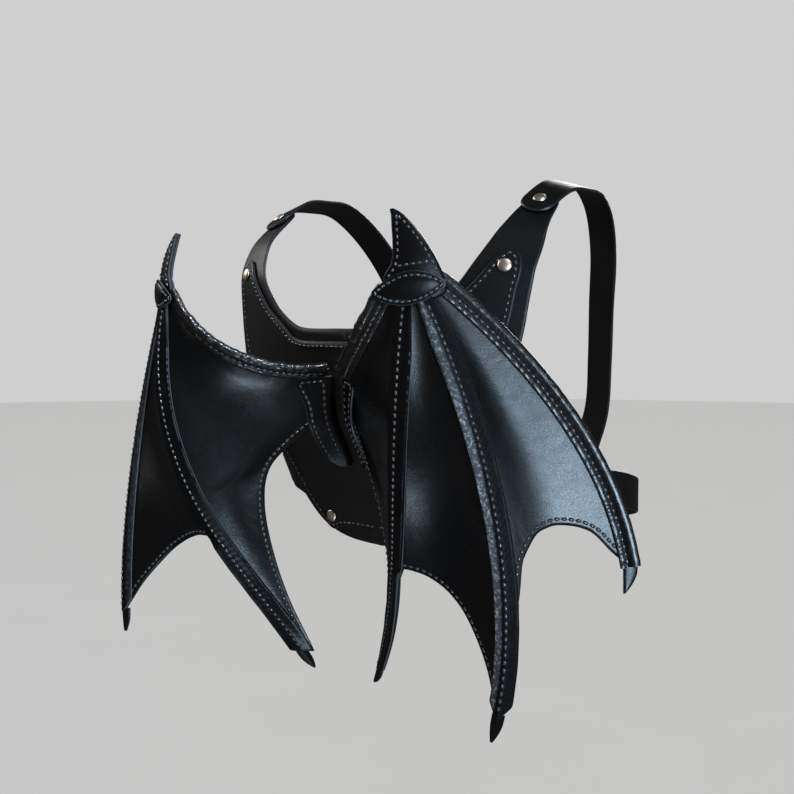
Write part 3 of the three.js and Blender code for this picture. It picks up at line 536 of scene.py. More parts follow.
# The wearer's back: height and how far forward the back lies, as shares of the shoulder's.
harness = {
    "shoulderHeight": 150, "shoulderForward": 80, "backRoundness": 270, "leather": 2.6, "gap": 0.3,
    "lapGap": 0.7, "plateHalfWidth": 130, "plateHeight": 214, "plateTop": 86, "yokeHalfWidth": 140,
    "yokeHeight": 266, "yokeTop": 129, "strapWidth": 25, "torsoHalfWidth": 159, "torsoFront": 256,
    "ribLevel": 118, "ribRivetTurn": 0.56, "strapLean": 0.3, "stitchInset": 3.0,
}
backProfile = np.array([
    (-1.6, 0.75), (-0.773, 0.52), (-0.425, 0.256), (-0.16, 0.01), (0, 0), (0.3, 0), (0.46, 0.007),
    (0.645, 0.157), (0.826, 0.573), (0.9, 0.86),
])
wingFace = 2 * harness["leather"] + harness["gap"]


# Depth of the back: a parabola across it, and the profile's curve down it.
def backDepth(x, z):
    forward = tableCurve(backProfile[:, 0], backProfile[:, 1], z / harness["shoulderHeight"])
    return x * x / (2 * harness["backRoundness"]) + harness["shoulderForward"] * forward


def backNormal(x, z):
    slope = backDepth(x, z + 1) - backDepth(x, z - 1)
    return unit(np.stack([x / harness["backRoundness"], 0 * x - 1, slope / 2], -1))


def backPoint(x, z, height):
    x, z = np.broadcast_arrays(np.asarray(x, float), np.asarray(z, float))
    return np.stack([x, backDepth(x, z), z], -1) + backNormal(x, z) * height


# Wing

wing = {
    "reach": 226, "standoff": 76, "drop": 282, "knuckleHeight": 60, "leather": 2.4, "trim": 2.0,
    "stripGap": 0.75, "boneHalfWidth": 7, "bindingWidth": 8, "bindingRoll": 7, "rootSpread": 9,
    "rootTop": 3, "rootHeight": 28, "sag": 3.2, "ripple": 0.45, "armWrinkle": 0.075, "outerWrinkle": 0.018, "flute": 1.6, "scallopInset": 3.2,
}
rootClearance = harness["lapGap"] + wing["trim"] + harness["gap"] + 0.4 * wing["leather"]
stripScuffSheen = {"right": 1, "left": 0.15}  # how pale the middle strip's half is painted: scuffing with a painted highlight, stronger on the right wing
hang = {"right": (1, 1), "left": (0.94, 1.1)}  # how far the middle and outer bones reach down
boneShares = {
    "arm": [(0.416, 0.987, 0.018), (0.31, 1, 0.152), (0.159, 0.618, 0.223)],
    "inner": [(0.482, 0.947, 0.035), (0.504, 1.316, 0.489), (0.345, 0.316, 0.734), (0.146, 0.013, 1)],
    "middle": [(0.531, 0.855, 0.035), (0.73, 0.711, 0.362), (0.827, 0.711, 0.706), (0.757, 0.829, 0.968)],
    "outer": [(0.558, 0.711, -0.004), (0.779, 0.171, 0.188), (0.951, -0.118, 0.401), (1, -0.145, 0.631)],
}
panelRows = np.array([
    (0, 0), (0.07, 0), (0.14, 0), (0.21, 0), (0.28, 0), (0.35, 0), (0.4, 0), (0.445, 0), (0.462, 0.3),
    (0.478, 0.46), (0.51, 0.56), (0.55, 0.62), (0.59, 0.663), (0.65, 0.712), (0.74, 0.768),
    (0.85, 0.82), (0.97, 0.85),
])
armRows, rootRows, middleRows, outerRows, lastRows = 5, 7, 12, 7, 16
middlePanel = np.array([
    (0, 1), (0.09, 1), (0.25, 1.03), (0.42, 1.09), (0.6, 1.186), (0.75, 1.308), (0.88, 1.449), (1, 1.644),
])
outerPanel = np.array([
    (0, 1), (0.1, 0.984), (0.2, 0.871), (0.35, 0.857), (0.5, 0.891), (0.65, 0.964), (0.8, 1.08),
    (0.9, 1.23), (1, 1.367),
])


def wingPoint(shares):
    out, back, down = np.asarray(shares, float).T
    return np.stack([
        out * wing["reach"],
        -wingFace - back * wing["standoff"],
        wing["knuckleHeight"] - down * wing["drop"],
    ], -1)


def rootPoint(z):
    z = np.asarray(z, float)
    return backPoint(np.full(z.shape, float(wing["rootSpread"])), z, wingFace + rootClearance)


bones = {name: wingPoint(shares) for name, shares in boneShares.items()}
bones["arm"] = np.vstack([bones["arm"], rootPoint(wing["rootTop"])[None]])


def rowAlong(row):
    return tableCurve(np.arange(lastRows + 1), panelRows[:, 0], row)


def rowCut(row):
    return tableCurve(np.arange(lastRows + 1), panelRows[:, 1], row)


# Inner edge of the sheet: the arm down to the root, the root edge, then the line that the inner
# scallop is cut from.
def innerEdge(row):
    foot = wing["rootTop"] - wing["rootHeight"]
    tip = wing["knuckleHeight"] - wing["drop"]
    start = panelRows[rootRows, 0]
    share = (rowAlong(row) - start) / (panelRows[lastRows, 0] - start)
    onRoot = wing["rootTop"] - wing["rootHeight"] * (row - armRows) / (rootRows - armRows)
    height = np.where(row <= rootRows, onRoot, mix(foot, tip, share))
    arm = bezier(bones["arm"], np.clip(row / armRows, 0, 1))
    return np.where((row <= armRows)[:, None], arm, rootPoint(np.minimum(height, wing["rootTop"])))


# Panels of one wing as grids of points. Each is ruled from bone to bone and sags between them by
# the squared sine of the place across; the sheet ripples a little where the arm's binding
# gathers it. The inner panel is averaged along its rows, so that no crease starts at the arm's end.
def wingPanels(side):
    middleHang, outerHang = hang[side]
    rowsOf = {name: np.linspace(0, rows, rows * 6 + 1) for name, rows in
              (("inner", lastRows), ("middle", middleRows), ("outer", outerRows))}
    ruled = {}
    row = rowsOf["inner"]
    along = rowAlong(row)
    bone = bezier(bones["inner"], along)
    edge = mix(innerEdge(row), bone, rowCut(row)[:, None])
    u = np.linspace(0, 1, 31)
    ruled["inner"] = mix(edge[:, None], bone[:, None], u[None, :, None])
    row = rowsOf["middle"]
    columns = np.linspace(0, len(middlePanel) - 1, 36)
    across = tableCurve(np.arange(len(middlePanel)), middlePanel[:, 0], columns)
    reach = tableCurve(np.arange(len(middlePanel)), middlePanel[:, 1], columns)
    share = rowAlong(row)[:, None] * reach
    ruled["middle"] = mix(
        bezier(bones["inner"], share), bezier(bones["middle"], share * middleHang), across[None, :, None],
    )
    row = rowsOf["outer"]
    columns = np.linspace(0, len(outerPanel) - 1, 41)
    acrossOuter = tableCurve(np.arange(len(outerPanel)), outerPanel[:, 0], columns)
    reach = tableCurve(np.arange(len(outerPanel)), outerPanel[:, 1], columns)
    share = rowAlong(row)[:, None] * middlePanel[-1, 1] * reach
    ruled["outer"] = mix(
        bezier(bones["middle"], share * middleHang), bezier(bones["outer"], share * outerHang),
        acrossOuter[None, :, None],
    )
    spans = {"inner": u, "middle": across, "outer": acrossOuter}
    reachIn = 15
    weights = np.hanning(2 * reachIn + 3)[1:-1]
    padded = np.pad(ruled["inner"], ((reachIn, reachIn), (0, 0), (0, 0)), mode="reflect", reflect_type="odd")
    windows = np.lib.stride_tricks.sliding_window_view(padded, 2 * reachIn + 1, axis=0)
    smooth = (windows * weights).sum(-1) / weights.sum()
    firm = (np.clip(u / 0.3, 0, 1) * np.clip((1 - u) / 0.25, 0, 1))[None, :, None]
    firm = firm * np.clip((rootRows + 1.5 - rowsOf["inner"]) / 1.5, 0, 1)[:, None, None]
    ruled["inner"] = mix(ruled["inner"], smooth, firm)
    panels = {}
    for name, grid in ruled.items():
        normals = gridNormals(grid)
        width = length(grid[:, -1] - grid[:, 0])
        depth = -wing["sag"] * np.minimum(width / 70, 1) * np.sin(math.pi * spans[name])[None] ** 2
        wave = 0.5 * np.sin(grid[..., 2] / 23 + grid[..., 0] / 31) * np.sin(math.pi * spans[name])[None] ** 2
        if name == "inner":
            run = runLength(grid[:, 0])[:, None]
            away = length(grid - grid[:, :1])[..., 0]
            onArm = np.clip((armRows - rowsOf["inner"]) / 1.2, 0, 1)[:, None]
            gather = np.sin(run * 0.62 + 1.3 * np.sin(run * 0.11)) * np.exp(-away / 9) * np.clip(away / 4, 0, 1)
            hung = np.clip(away / 9, 0, 1) * np.exp(-away / 48) * np.sin(math.pi * spans[name])[None] ** 0.5
            flutes = sum(tall * np.exp(-((run / run[-1] - share) / 0.05) ** 2) for share, tall in
                         ((0.2, 0.5), (0.33, 1), (0.42, -0.6)))
            wave = wave + wing["ripple"] * onArm * gather + wing["flute"] * flutes * hung
        panels[name] = grid + normals * (depth + wave)[..., None]
    return panels, rowsOf


# Narrow ledges of the sheet beside the lower ends of the inner and middle bones, under their
# strips.
def wingLedges(side, panels, rowsOf):
    middleHang, outerHang = hang[side]
    width = wing["boneHalfWidth"] - 0.5
    ledges = []
    low = rowsOf["inner"][rowsOf["inner"] >= middleRows]
    bone = panels["inner"][rowsOf["inner"] >= middleRows, -1]
    far = bezier(bones["middle"], panelRows[middleRows, 0] * middlePanel[-1, 1] * middleHang)
    towards = unit(far - bone)
    share = np.linspace(0, 1, 6)
    grid = bone[:, None] + towards[:, None] * (share[None, :, None] * width)
    grid[0] = panels["middle"][-1, :6]
    ledges.append(grid)
    keep = (rowsOf["middle"] >= outerRows)
    bone = panels["middle"][keep, -1]
    along = panelRows[outerRows, 0] * middlePanel[-1, 1]
    far = bezier(bones["outer"], along * outerPanel[-1, 1] * outerHang)
    towards = unit(far - bone)
    grid = bone[:, None] + towards[:, None] * (share[None, :, None] * width)
    grid[0] = panels["outer"][-1, :6]
    ledges.append(grid)
    return ledges


# Strip folded over a bone: its halves lie along the panels on either side of it. Each half is
# plump, thinner at its edge, and drawn down to a valley along the stitches.
def boneStrip(bone, left, right, taper):
    run = runLength(bone)
    steps = np.linspace(0, run[-1], int(run[-1] / 1.25))
    line, leftAt, rightAt = (alongPath(bone, values, steps) for values in (bone, left, right))
    tangents = pathTangents(line)
    halfWidth = wing["boneHalfWidth"] * tableCurve([0, 0.07, 0.14, 1], taper, steps / run[-1])[:, None]
    sides = []
    for to in (leftAt, rightAt):
        towards = unit(to - line)
        sides.append(towards * halfWidth / length(np.cross(towards, tangents)))
    u = np.linspace(-1, 1, 19)
    grid = line[:, None] + np.where(
        u[None, :, None] < 0, sides[0][:, None] * -u[None, :, None], sides[1][:, None] * u[None, :, None],
    )
    across = np.abs(u)[None] * wing["boneHalfWidth"]
    valley = np.clip(1 - across / 6.2, 0, 1)
    tuck = 0.5 + 0.5 * np.cos(2 * math.pi * steps / stitch["pitch"])[:, None]
    body = 2.95 * (1 - 0.45 * np.abs(u)[None] ** 11)
    high = 1.25 + body - valley * (2.05 + 0.2 * tuck)
    wobble = 0.14 * np.sin(steps / 7.3 + 2 * np.sin(steps / 19))[:, None] * np.abs(u)[None]
    return grid, 1.25 + 0 * high, high + wobble, steps


# Binding along an edge of the sheet: a flat half that lies on the leather, a groove with the
# stitches, and a padded roll beyond the edge whose radius swells and wrinkles along the way.
def edgeBinding(edge, inner, normals, first, last, wrinkle):
    run = runLength(edge)
    steps = np.linspace(first * run[-1], last * run[-1], int(run[-1] / 0.9))
    origin, innerAt, normal = (alongPath(edge, values, steps) for values in (edge, inner, normals))
    tangents = pathTangents(origin)
    inward = unit(innerAt - origin)
    inward = unit(inward - tangents * (inward * tangents).sum(1, keepdims=True))
    normal = unit(normal)
    low = 1.25
    radius = wing["bindingRoll"] / 2
    centre = np.array([-radius + 0.9, low + 0.7])
    flat = np.array([(7.3, low), (7.5, low + 0.5), (7.3, low + 0.9), (6.8, low + 1.15), (6.1, low + 1.3),
                     (5.3, low + 1.35), (4.4, low + 1.3), (3.5, low + 1.1), (2.8, low + 0.7),
                     (2.2, low + 0.85)])
    angle = np.radians(np.linspace(18, 330, 30))
    turned = np.stack([np.cos(angle), np.sin(angle)], -1)
    roll = centre + radius * np.array([1, 0.9]) * np.sign(turned) * np.abs(turned) ** 0.82
    under = np.array([(0.3, low - 0.3), (2, low), (5, low)])
    section = np.vstack([flat, roll, under])
    onRoll = np.zeros(len(section))
    onRoll[len(flat):len(flat) + len(roll)] = np.sin(np.linspace(0.5, math.pi, len(roll)))
    onFlat = np.zeros(len(section))
    onFlat[2:len(flat) - 2] = 1
    s = steps[:, None]
    swell = np.sin(s / 5.1 + 1.7 * np.sin(s / 17)) + 0.8 * np.sin(s / 2.2 + 2.1 * np.sin(s / 9))
    slant = np.linspace(0, 2.2, len(section))[None]
    swell = swell + 0.7 * np.sin(s / 1.35 + slant + 2.4 * np.sin(s / 6.1))
    creases = 0.16 * np.sin(s / 1.15 + slant * 2 + 2.2 * np.sin(s / 4.3)) * onFlat[None]
    tuck = 0.5 + 0.5 * np.cos(2 * math.pi * s / stitch["pitch"])
    foot = np.exp(-((section[:, 0] - 2.6) / 1.1) ** 2)[None] * (section[:, 1] > low)[None]
    narrow = 1 - 0.35 * np.exp(-((steps - steps[0]) / 5) ** 2)
    scale = 1 + onRoll[None] * (wrinkle * swell + narrow[:, None] - 1)
    shaped = np.where(onRoll[None, :, None] > 0, centre + (section[None] - centre) * scale[..., None], section[None])
    shaped[..., 1] += creases - 0.3 * foot * tuck
    rings = origin[:, None] + shaped[..., :1] * inward[:, None] + shaped[..., 1:] * normal[:, None]
    return rings, origin + 2.6 * inward + (low + 0.75) * normal, normal


# Leather claw beyond a bone's tip: half widths are shares of the claw's, at shares of its length.
claw = {"length": 15, "width": 9, "along": [0, 0.35, 0.7, 1], "half": [1, 0.95, 0.62, 0.08]}


def boneClaw(tip, run, left, right, bend):
    t = np.linspace(0, 1, 15)
    half = tableCurve(claw["along"], claw["half"], t) * claw["width"] / 2
    centre = tip + run * (-1.5 + t * (claw["length"] + 2))[:, None] + left * (bend * t ** 2)[:, None]
    u = np.linspace(-1, 1, 9)
    sides = np.where(u[:, None] < 0, left * -u[:, None], right * u[:, None])
    grid = centre[:, None] + half[:, None, None] * sides[None]
    crown = 0.5 * (1 - u ** 2)[None] * (1 - 0.5 * t)[:, None]
    return grid, -1.1 - 0.4 * crown, 1.1 + crown


# Knuckle: a bowed upright surface that leans forward towards the thumb's tip.
knuckle = {
    "thumbHeight": 49, "thumbWidth": 36, "patchLength": 46, "patchHeight": 20, "bow": 5, "tuck": 8,
    "thumbShare": {"right": 1, "left": 0.88},
    "centre": wingPoint((0.487, 0.868, 0)), "sideways": unit(np.array([0.84, 0.54, 0.155])),
}
thumbOutline = np.array([
    (-0.22, 0.12, 0.38), (-0.2, -0.1, 0.5), (-0.175, -0.2, 0.567), (-0.097, -0.36, 0.614),
    (0.007, -0.47, 0.58), (0.1, -0.48, 0.533), (0.192, -0.44, 0.48), (0.294, -0.347, 0.418),
    (0.436, -0.313, 0.316), (0.602, -0.32, 0.178), (0.79, -0.34, -0.004), (0.943, -0.355, -0.187),
    (1.015, -0.38, -0.33),
])


def knucklePoint(along, up):
    sideways = knuckle["sideways"]
    normal = unit(np.cross(sideways, np.array([0, 0, 1])))
    bow = knuckle["bow"] * (1 - (along / (knuckle["patchLength"] / 2)) ** 2)
    lean = np.maximum(0, up / knuckle["thumbHeight"]) ** 1.5
    lift = bow * (1 - lean) - knuckle["bow"] * lean
    rise = up[..., None] * np.array([0, 0, 1])
    return knuckle["centre"] + along[..., None] * sideways + rise + lift[..., None] * normal


def thumbGrid(side):
    up = np.linspace(thumbOutline[0, 0], thumbOutline[-1, 0], 45)
    inner = tableCurve(thumbOutline[:, 0], thumbOutline[:, 1], up)
    outer = tableCurve(thumbOutline[:, 0], thumbOutline[:, 2], up)
    u = np.linspace(0, 1, 21)
    along = knuckle["thumbWidth"] * mix(inner[:, None], outer[:, None], u[None])
    height = knuckle["thumbHeight"] * np.where(up > 0, knuckle["thumbShare"][side], 1)
    grid = knucklePoint(along, (height * up)[:, None] + 0 * along)
    return grid[::-1], u, up[::-1]


# Patch: a lens whose half height goes with a cosine along it; station and share run from -1 to 1.
def patchPoint(station, share):
    half = 0.5 * knuckle["patchHeight"] * (0.14 + 0.86 * np.cos(station * math.pi / 2) ** 0.9)
    along = knuckle["patchLength"] * (0.47 * station - 0.03)
    return knucklePoint(along, share * half - 2)


# Its face is a low pillow inside the seam, thin outside it, with one pinched fold near its end.
def patchHeight(station, share):
    across = np.sqrt(np.clip(share ** 2 + station ** 4 * (1 - share ** 2), 0, 1))
    pillow = 1.15 * np.clip(1 - across ** 2 / 0.62, 0, 1) ** 0.8
    seam = 0.4 * np.exp(-((across - 0.8) / 0.06) ** 2)
    fold = 0.9 * np.exp(-((station + 0.6) / 0.09) ** 2 - ((share - 0.45) / 0.3) ** 2)
    return 5.5 + pillow - seam + fold


# Root tongue: a leaf on the wing, folded round the sewn edge, and a foot on the back plate.
tongue = {
    "top": -3, "length": 65, "width": 29, "foot": 14,
    "down": [0, 0.12, 0.3, 0.55, 0.8, 0.93, 1], "widths": [1.02, 0.92, 0.7, 0.56, 0.52, 0.42, 0.22],
}


def tongueGrid():
    down = np.concatenate([np.linspace(0, 0.9, 40), 0.9 + 0.1 * np.sin(np.linspace(0.1, 1, 14) * math.pi / 2)])
    width = tableCurve(tongue["down"], tongue["widths"], down) * tongue["width"]
    z = tongue["top"] - down * tongue["length"]
    lift = wing["leather"] / 2 + harness["lapGap"] + wing["trim"] / 2
    bottom = wing["rootTop"] - wing["rootHeight"]

    def wingward(height):
        row = armRows + (wing["rootTop"] - height) / wing["rootHeight"] * (rootRows - armRows)
        row = np.clip(row, armRows, rootRows)
        return unit(bezier(bones["inner"], rowAlong(row)) - rootPoint(np.clip(height, bottom, 3)))

    level = unit(wingward(np.array([bottom])) * np.array([1, 1, 0]))
    share = np.clip((bottom - z) / (tongue["length"] + tongue["top"] + bottom), 0, 1)[:, None]
    u = np.linspace(1, 0.04, 21)
    reach = width[:, None] * u[None]
    start = z[:, None] - 0.85 * reach * wingward(z)[:, 2][:, None] * (1 - share)
    leafDirection = unit(mix(wingward(start.ravel()).reshape(*start.shape, 3), level, share[:, None]))
    flatDirection = unit(leafDirection * np.array([1, 1, 0]))
    normal = np.stack([flatDirection[..., 1], -flatDirection[..., 0], 0 * reach], -1)
    root = rootPoint(start)
    leaf = root + leafDirection * reach[..., None] + normal * lift
    edgeNormal = normal[:, -1]
    first = np.arctan2(edgeNormal[:, 1], edgeNormal[:, 0]) + 2 * math.pi
    turn = np.linspace(0.12, 1, 9)
    angle = mix(first[:, None], math.pi / 2, turn[None])
    radius = mix(lift, rootClearance - harness["lapGap"] - wing["trim"] / 2, turn)[None]
    around = np.stack([radius * np.cos(angle), radius * np.sin(angle), 0 * angle], -1)
    fold = rootPoint(z)[:, None] + around
    feet = np.linspace(0.2, 1, 8)
    x = wing["rootSpread"] + feet[None] * tongue["foot"] + 0 * z[:, None]
    foot = backPoint(x, z[:, None] + 0 * x, wingFace + harness["lapGap"] + wing["trim"] / 2)
    return np.concatenate([leaf, fold, foot], 1), 21


# Edge lengthened straight back, so that its binding starts behind the knuckle.
def tucked(edge, inner, normals):
    back = unit(edge[0] - edge[3]) * knuckle["tuck"]
    return np.vstack([edge[:1] + back, edge]), np.vstack([inner[:1] + back, inner]), np.vstack([normals[:1], normals])


def wingPieces(side):
    mirror = side == "left"

    def put(name, points, faces, material, slot, edge=None, **more):
        if mirror:
            points, faces = flipped(points, faces)
        return addPiece(side + name, points, faces, material, slot, edge, **more)

    panels, rowsOf = wingPanels(side)
    ledges = wingLedges(side, panels, rowsOf)
    points, quads, _ = joinPatches([*panels.values(), *ledges])
    sheet = thickSheet(points, quads, -wing["leather"] / 2, wing["leather"] / 2)
    membrane = put("WingSheet", *sheet[:2], wingLeather, "wing_leather", sheet[2],
                   replaces=[f"{side}_membrane"])
    corner = points[quads]
    area = 0.5 * length(np.cross(corner[:, 2] - corner[:, 0], corner[:, 3] - corner[:, 1])).sum() * mm * mm
    print(side, "wing sheet, flat area in square metres", round(float(area), 4))

    rows = []
    normals = {name: gridNormals(grid) for name, grid in panels.items()}
    inner, middle, outer = panels["inner"], panels["middle"], panels["outer"]
    surface = wing["leather"] / 2

    # Strips over the two bones
    innerLine = inner[:, -1]
    beyond = np.vstack([middle[:-1, 2], ledges[0][:, 3]])
    grid, low, high, steps = boneStrip(innerLine, inner[:, -4], beyond, [0.62, 0.84, 1, 1])
    strip = gridSheet(grid, low, high)
    put("InnerBone", *strip[:2], trimLeather, "wing_leather", strip[2], replaces=[f"{side}_inner_bone"])
    rows.append(stripStitches(grid, high))
    middleLine = middle[:, -1]
    beyond = np.vstack([outer[:-1, 2], ledges[1][:, 3]])
    grid, low, high, steps = boneStrip(middleLine, middle[:, -4], beyond, [0.62, 0.84, 1, 1])
    strip = gridSheet(grid, low, high)
    # Painted highlight: one half of the middle strip is marked to be painted pale, fading towards its ends and stronger
    # on the right wing than the left; partly real scuffing.
    halves = np.clip(np.linspace(3.4, -4.6, grid.shape[1]), -1, 1)[None]
    down = np.linspace(0, 1, len(grid))[:, None]
    halves = np.where(halves > 0, halves * stripScuffSheen[side] * (0.35 + 0.65 * np.sin(math.pi * down)), halves)
    rim = np.ones(grid.shape[:2], bool)
    rim[1:-1, 1:-1] = False
    scuffed = np.concatenate([halves.ravel(), halves.ravel(), *[halves[rim]] * 3])
    put("MiddleBone", *strip[:2], stripLeather, "wing_leather", strip[2], scuffed=scuffed,
        replaces=[f"{side}_middle_bone"])
    rows.append(stripStitches(grid, high))

    # Bindings along the arm and the outer edge
    arm = rowsOf["inner"] <= armRows
    for name, edge, inside, edgeNormals, first, last, wrinkle in (
        ("ArmBinding", *tucked(inner[arm, 0], inner[arm, 3], normals["inner"][arm, 0]), 0.02, 0.985,
         wing["armWrinkle"]),
        ("OuterBinding", *tucked(outer[:, -1], outer[:, -4], normals["outer"][:, -1]), 0, 1, wing["outerWrinkle"]),
    ):
        rings, groove, up = edgeBinding(edge, inside, edgeNormals, first, last, wrinkle)
        if name == "ArmBinding":
            rings = rings[:, ::-1]
        tube, faces = closedTube(rings)
        node = "arm_binding" if name == "ArmBinding" else "outer_binding"
        roll = put(name, tube, faces, bindingLeather, "binding_leather", replaces=[f"{side}_{node}"], sharp=60)
        rows.append(stitchRow(groove, up, start=1.5, end=1.5))

    # Stitches along the scallops
    inset = wing["scallopInset"]
    below = rowsOf["inner"] >= rootRows
    line = insetLine(inner[below, 0], inner[below, 2], normals["inner"][below, 0], inset, surface)
    rows.append(stitchRow(*line, start=3, end=6))
    line = insetLine(middle[-1], middle[-3], normals["middle"][-1], inset, surface)
    rows.append(stitchRow(*line, start=9, end=10))
    line = insetLine(outer[-1], outer[-3], normals["outer"][-1], inset, surface)
    rows.append(stitchRow(*line, start=10, end=10))

    # Claws
    for name, node, tip, before, left, right, bend in (
        ("InnerClaw", "inner_claw", innerLine[-1], innerLine[-4], inner[-1, -4], ledges[0][-1, 3], 0.6),
        ("MiddleClaw", "middle_claw", middleLine[-1], middleLine[-4], middle[-1, -4], ledges[1][-1, 3], 1),
        ("OuterClaw", "outer_claw", outer[-1, -1], outer[-4, -1], outer[-1, -4], None, 7),
    ):
        run = unit(tip - before)
        toLeft = unit(left - tip)
        toLeft = unit(toLeft - run * min(0, float(toLeft @ run)))
        toRight = -toLeft if right is None else unit(right - tip)
        toRight = unit(toRight - run * min(0, float(toRight @ run)))
        grid, low, high = boneClaw(tip, run, toLeft, toRight, bend)
        leaf = gridSheet(grid, low, high)
        put(name, *leaf[:2], wingLeather, "wing_leather", leaf[2], replaces=[f"{side}_{node}"])

    # Thumb claw of two leaves, and the patch over the knuckle
    grid, u, up = thumbGrid(side)
    crown = np.sin(math.pi * u)[None] ** 0.8 * np.clip((1.05 - up) * 1.6, 0, 1)[:, None]
    outerLeaf = gridSheet(grid, 0.1 + 0 * crown, 2.0 + 1.1 * crown)
    innerLeaf = gridSheet(grid, -2.0 - 0.8 * crown, -0.1 + 0 * crown)
    put("ThumbOuter", *outerLeaf[:2], trimLeather, "wing_leather", outerLeaf[2],
        replaces=[f"{side}_thumb_claw_outer"])
    put("ThumbInner", *innerLeaf[:2], trimLeather, "wing_leather", innerLeaf[2],
        replaces=[f"{side}_thumb_claw_inner"])
    leafNormals = gridNormals(grid)
    lift = 2.25
    upper = up > 0.1
    for edge, inside in ((0, 2), (-1, -3)):
        line = insetLine(grid[upper, edge], grid[upper, inside], leafNormals[upper, edge], 3, lift)
        rows.append(stitchRow(*line, pitch=4.4, start=4, end=1, size=0.9))
    base = int(np.argmin(np.abs(up - 0.27)))
    line = grid[base] + leafNormals[base] * (2.2 + 1.0 * crown[base])[:, None]
    rows.append(stitchRow(line, leafNormals[base], pitch=4.2, start=5, end=5, size=0.85))

    station, share = np.meshgrid(np.linspace(-1, 1, 61), np.linspace(1, -1, 33))
    grid = patchPoint(station, share)
    high = patchHeight(station, share)
    patch = gridSheet(grid, 4.3 + 0 * high, high)
    pad = put("KnucklePatch", *patch[:2], trimLeather, "wing_leather", patch[2],
              replaces=[f"{side}_knuckle_patch"])
    around = np.linspace(0, 2 * math.pi, 161)
    station = 0.9 * np.cos(around)
    share = 0.8 * np.sqrt(np.clip(1 - station ** 4, 0, 1)) * np.sign(np.sin(around)) * np.abs(np.sin(around)) ** 0.4
    patchNormal = unit(np.cross(knuckle["sideways"], np.array([0, 0, 1])))
    patchNormals = unit(patchNormal + 0.43 * station[:, None] * knuckle["sideways"])
    seamLine = patchPoint(station, share) + patchNormals * (patchHeight(station, share) + 0.1)[:, None]
    rows.append(stitchRow(seamLine, patchNormals, pitch=3.9, start=0, end=0, size=0.95))

    # Tongue
    grid, fold = tongueGrid()
    leaf = gridSheet(grid, -0.95, 0.95)
    put("RootTongue", *leaf[:2], trimLeather, "wing_leather", leaf[2], replaces=[f"{side}_root_tongue"])
    leafNormals = -gridNormals(grid)
    sheetPart = slice(0, fold)
    line = insetLine(grid[0, sheetPart], grid[2, sheetPart], leafNormals[0, sheetPart], 3, 0.95)
    rows.append(stitchRow(*line, start=4, end=3))
    line = insetLine(grid[:, 0], grid[:, 2], leafNormals[:, 0], 3, 0.95)
    rows.append(stitchRow(*line, start=4, end=5))
    line = insetLine(grid[:, fold - 1], grid[:, fold - 4], leafNormals[:, fold - 3], 2.5, 0.95)
    rows.append(stitchRow(*line, start=4, end=4))
    addStitches(side + "WingStitches", rows, mirror)
    print(side, "wing ready")


def stripStitches(grid, high):
    middle = grid.shape[1] // 2
    normals = gridNormals(grid)
    line = grid[:, middle] + normals[:, middle] * (high[:, middle] + 0.15)[:, None]
    return stitchRow(line, normals[:, middle], start=3, end=4)


wingPieces("right")
wingPieces("left")

# Harness

plateHalf = np.array([
    (0, 0.981), (0.18, 0.979), (0.29, 0.985), (0.365, 1), (0.42, 0.98), (0.5, 0.925), (0.59, 0.83),
    (0.69, 0.67), (0.81, 0.48), (0.9, 0.335), (0.95, 0.22), (0.98, 0.12), (1, 0.06), (0.985, 0.02),
    (0.94, 0), (0.885, 0.018), (0.83, 0.06), (0.75, 0.115), (0.66, 0.17), (0.5, 0.24), (0.41, 0.28),
    (0.33, 0.295), (0, 0.299),
])
plateTip = 14
yokeHalf = np.array([
    (0, 1), (0.22, 0.99), (0.35, 0.972), (0.45, 0.945), (0.55, 0.895), (0.64, 0.815), (0.73, 0.7),
    (0.83, 0.56), (0.9, 0.46), (0.94, 0.375), (0.965, 0.29), (0.985, 0.22), (1, 0.15), (0.985, 0.08),
    (0.955, 0.018), (0.89, 0), (0.82, 0.018), (0.785, 0.09), (0.74, 0.155), (0.675, 0.22), (0.6, 0.268),
    (0.51, 0.312), (0.4, 0.348), (0.32, 0.362), (0, 0.366),
])
yokeTip = 15


# Half of a harness layer as a grid ruled between two lines that meet at the lower middle and at
# the tip of the horn or arm: the outer outline, and the spine followed by the scoop.
def layerHalf(outline, tip, halfWidth, height, top):
    corners = outline * np.array([halfWidth, -height]) + np.array([0, top])
    line = smoothCurve(corners, np.linspace(0, 1, 400))
    tipAt = int(round(399 * tip / (len(outline) - 1)))
    outer = line[:tipAt + 1]
    scoop = line[tipAt:][::-1]
    onSpine, onScoop = 24, 73
    spine = np.linspace(line[0], line[-1], onSpine)
    outerAt = alongPath(outer, outer, np.linspace(0, runLength(outer)[-1], onSpine + onScoop - 1))
    scoopAt = alongPath(scoop, scoop, np.linspace(0, runLength(scoop)[-1], onScoop))
    innerAt = np.vstack([spine[:-1], scoopAt])
    u = np.linspace(0, 1, 29)
    return mix(outerAt[:, None], innerAt[:, None], u[None, :, None]), line


def harnessLayer(name, outline, tip, halfWidth, height, top, low, node):
    flat, line = layerHalf(outline, tip, halfWidth, height, top)
    left = flat[:, ::-1] * np.array([-1, 1])
    grids = [backPoint(half[..., 0], half[..., 1], 0.0) for half in (flat, left)]
    points, quads, _ = joinPatches(grids)
    corner = points[quads]
    facing = np.cross(corner[:, 2] - corner[:, 0], corner[:, 3] - corner[:, 1])[:, 1]
    quads = np.where((facing > 0)[:, None], quads[:, ::-1], quads)
    sheet = thickSheet(points, quads, low, low + harness["leather"])
    addPiece(name, *sheet[:2], harnessLeather, "harness_leather", sheet[2], replaces=[node])
    return line


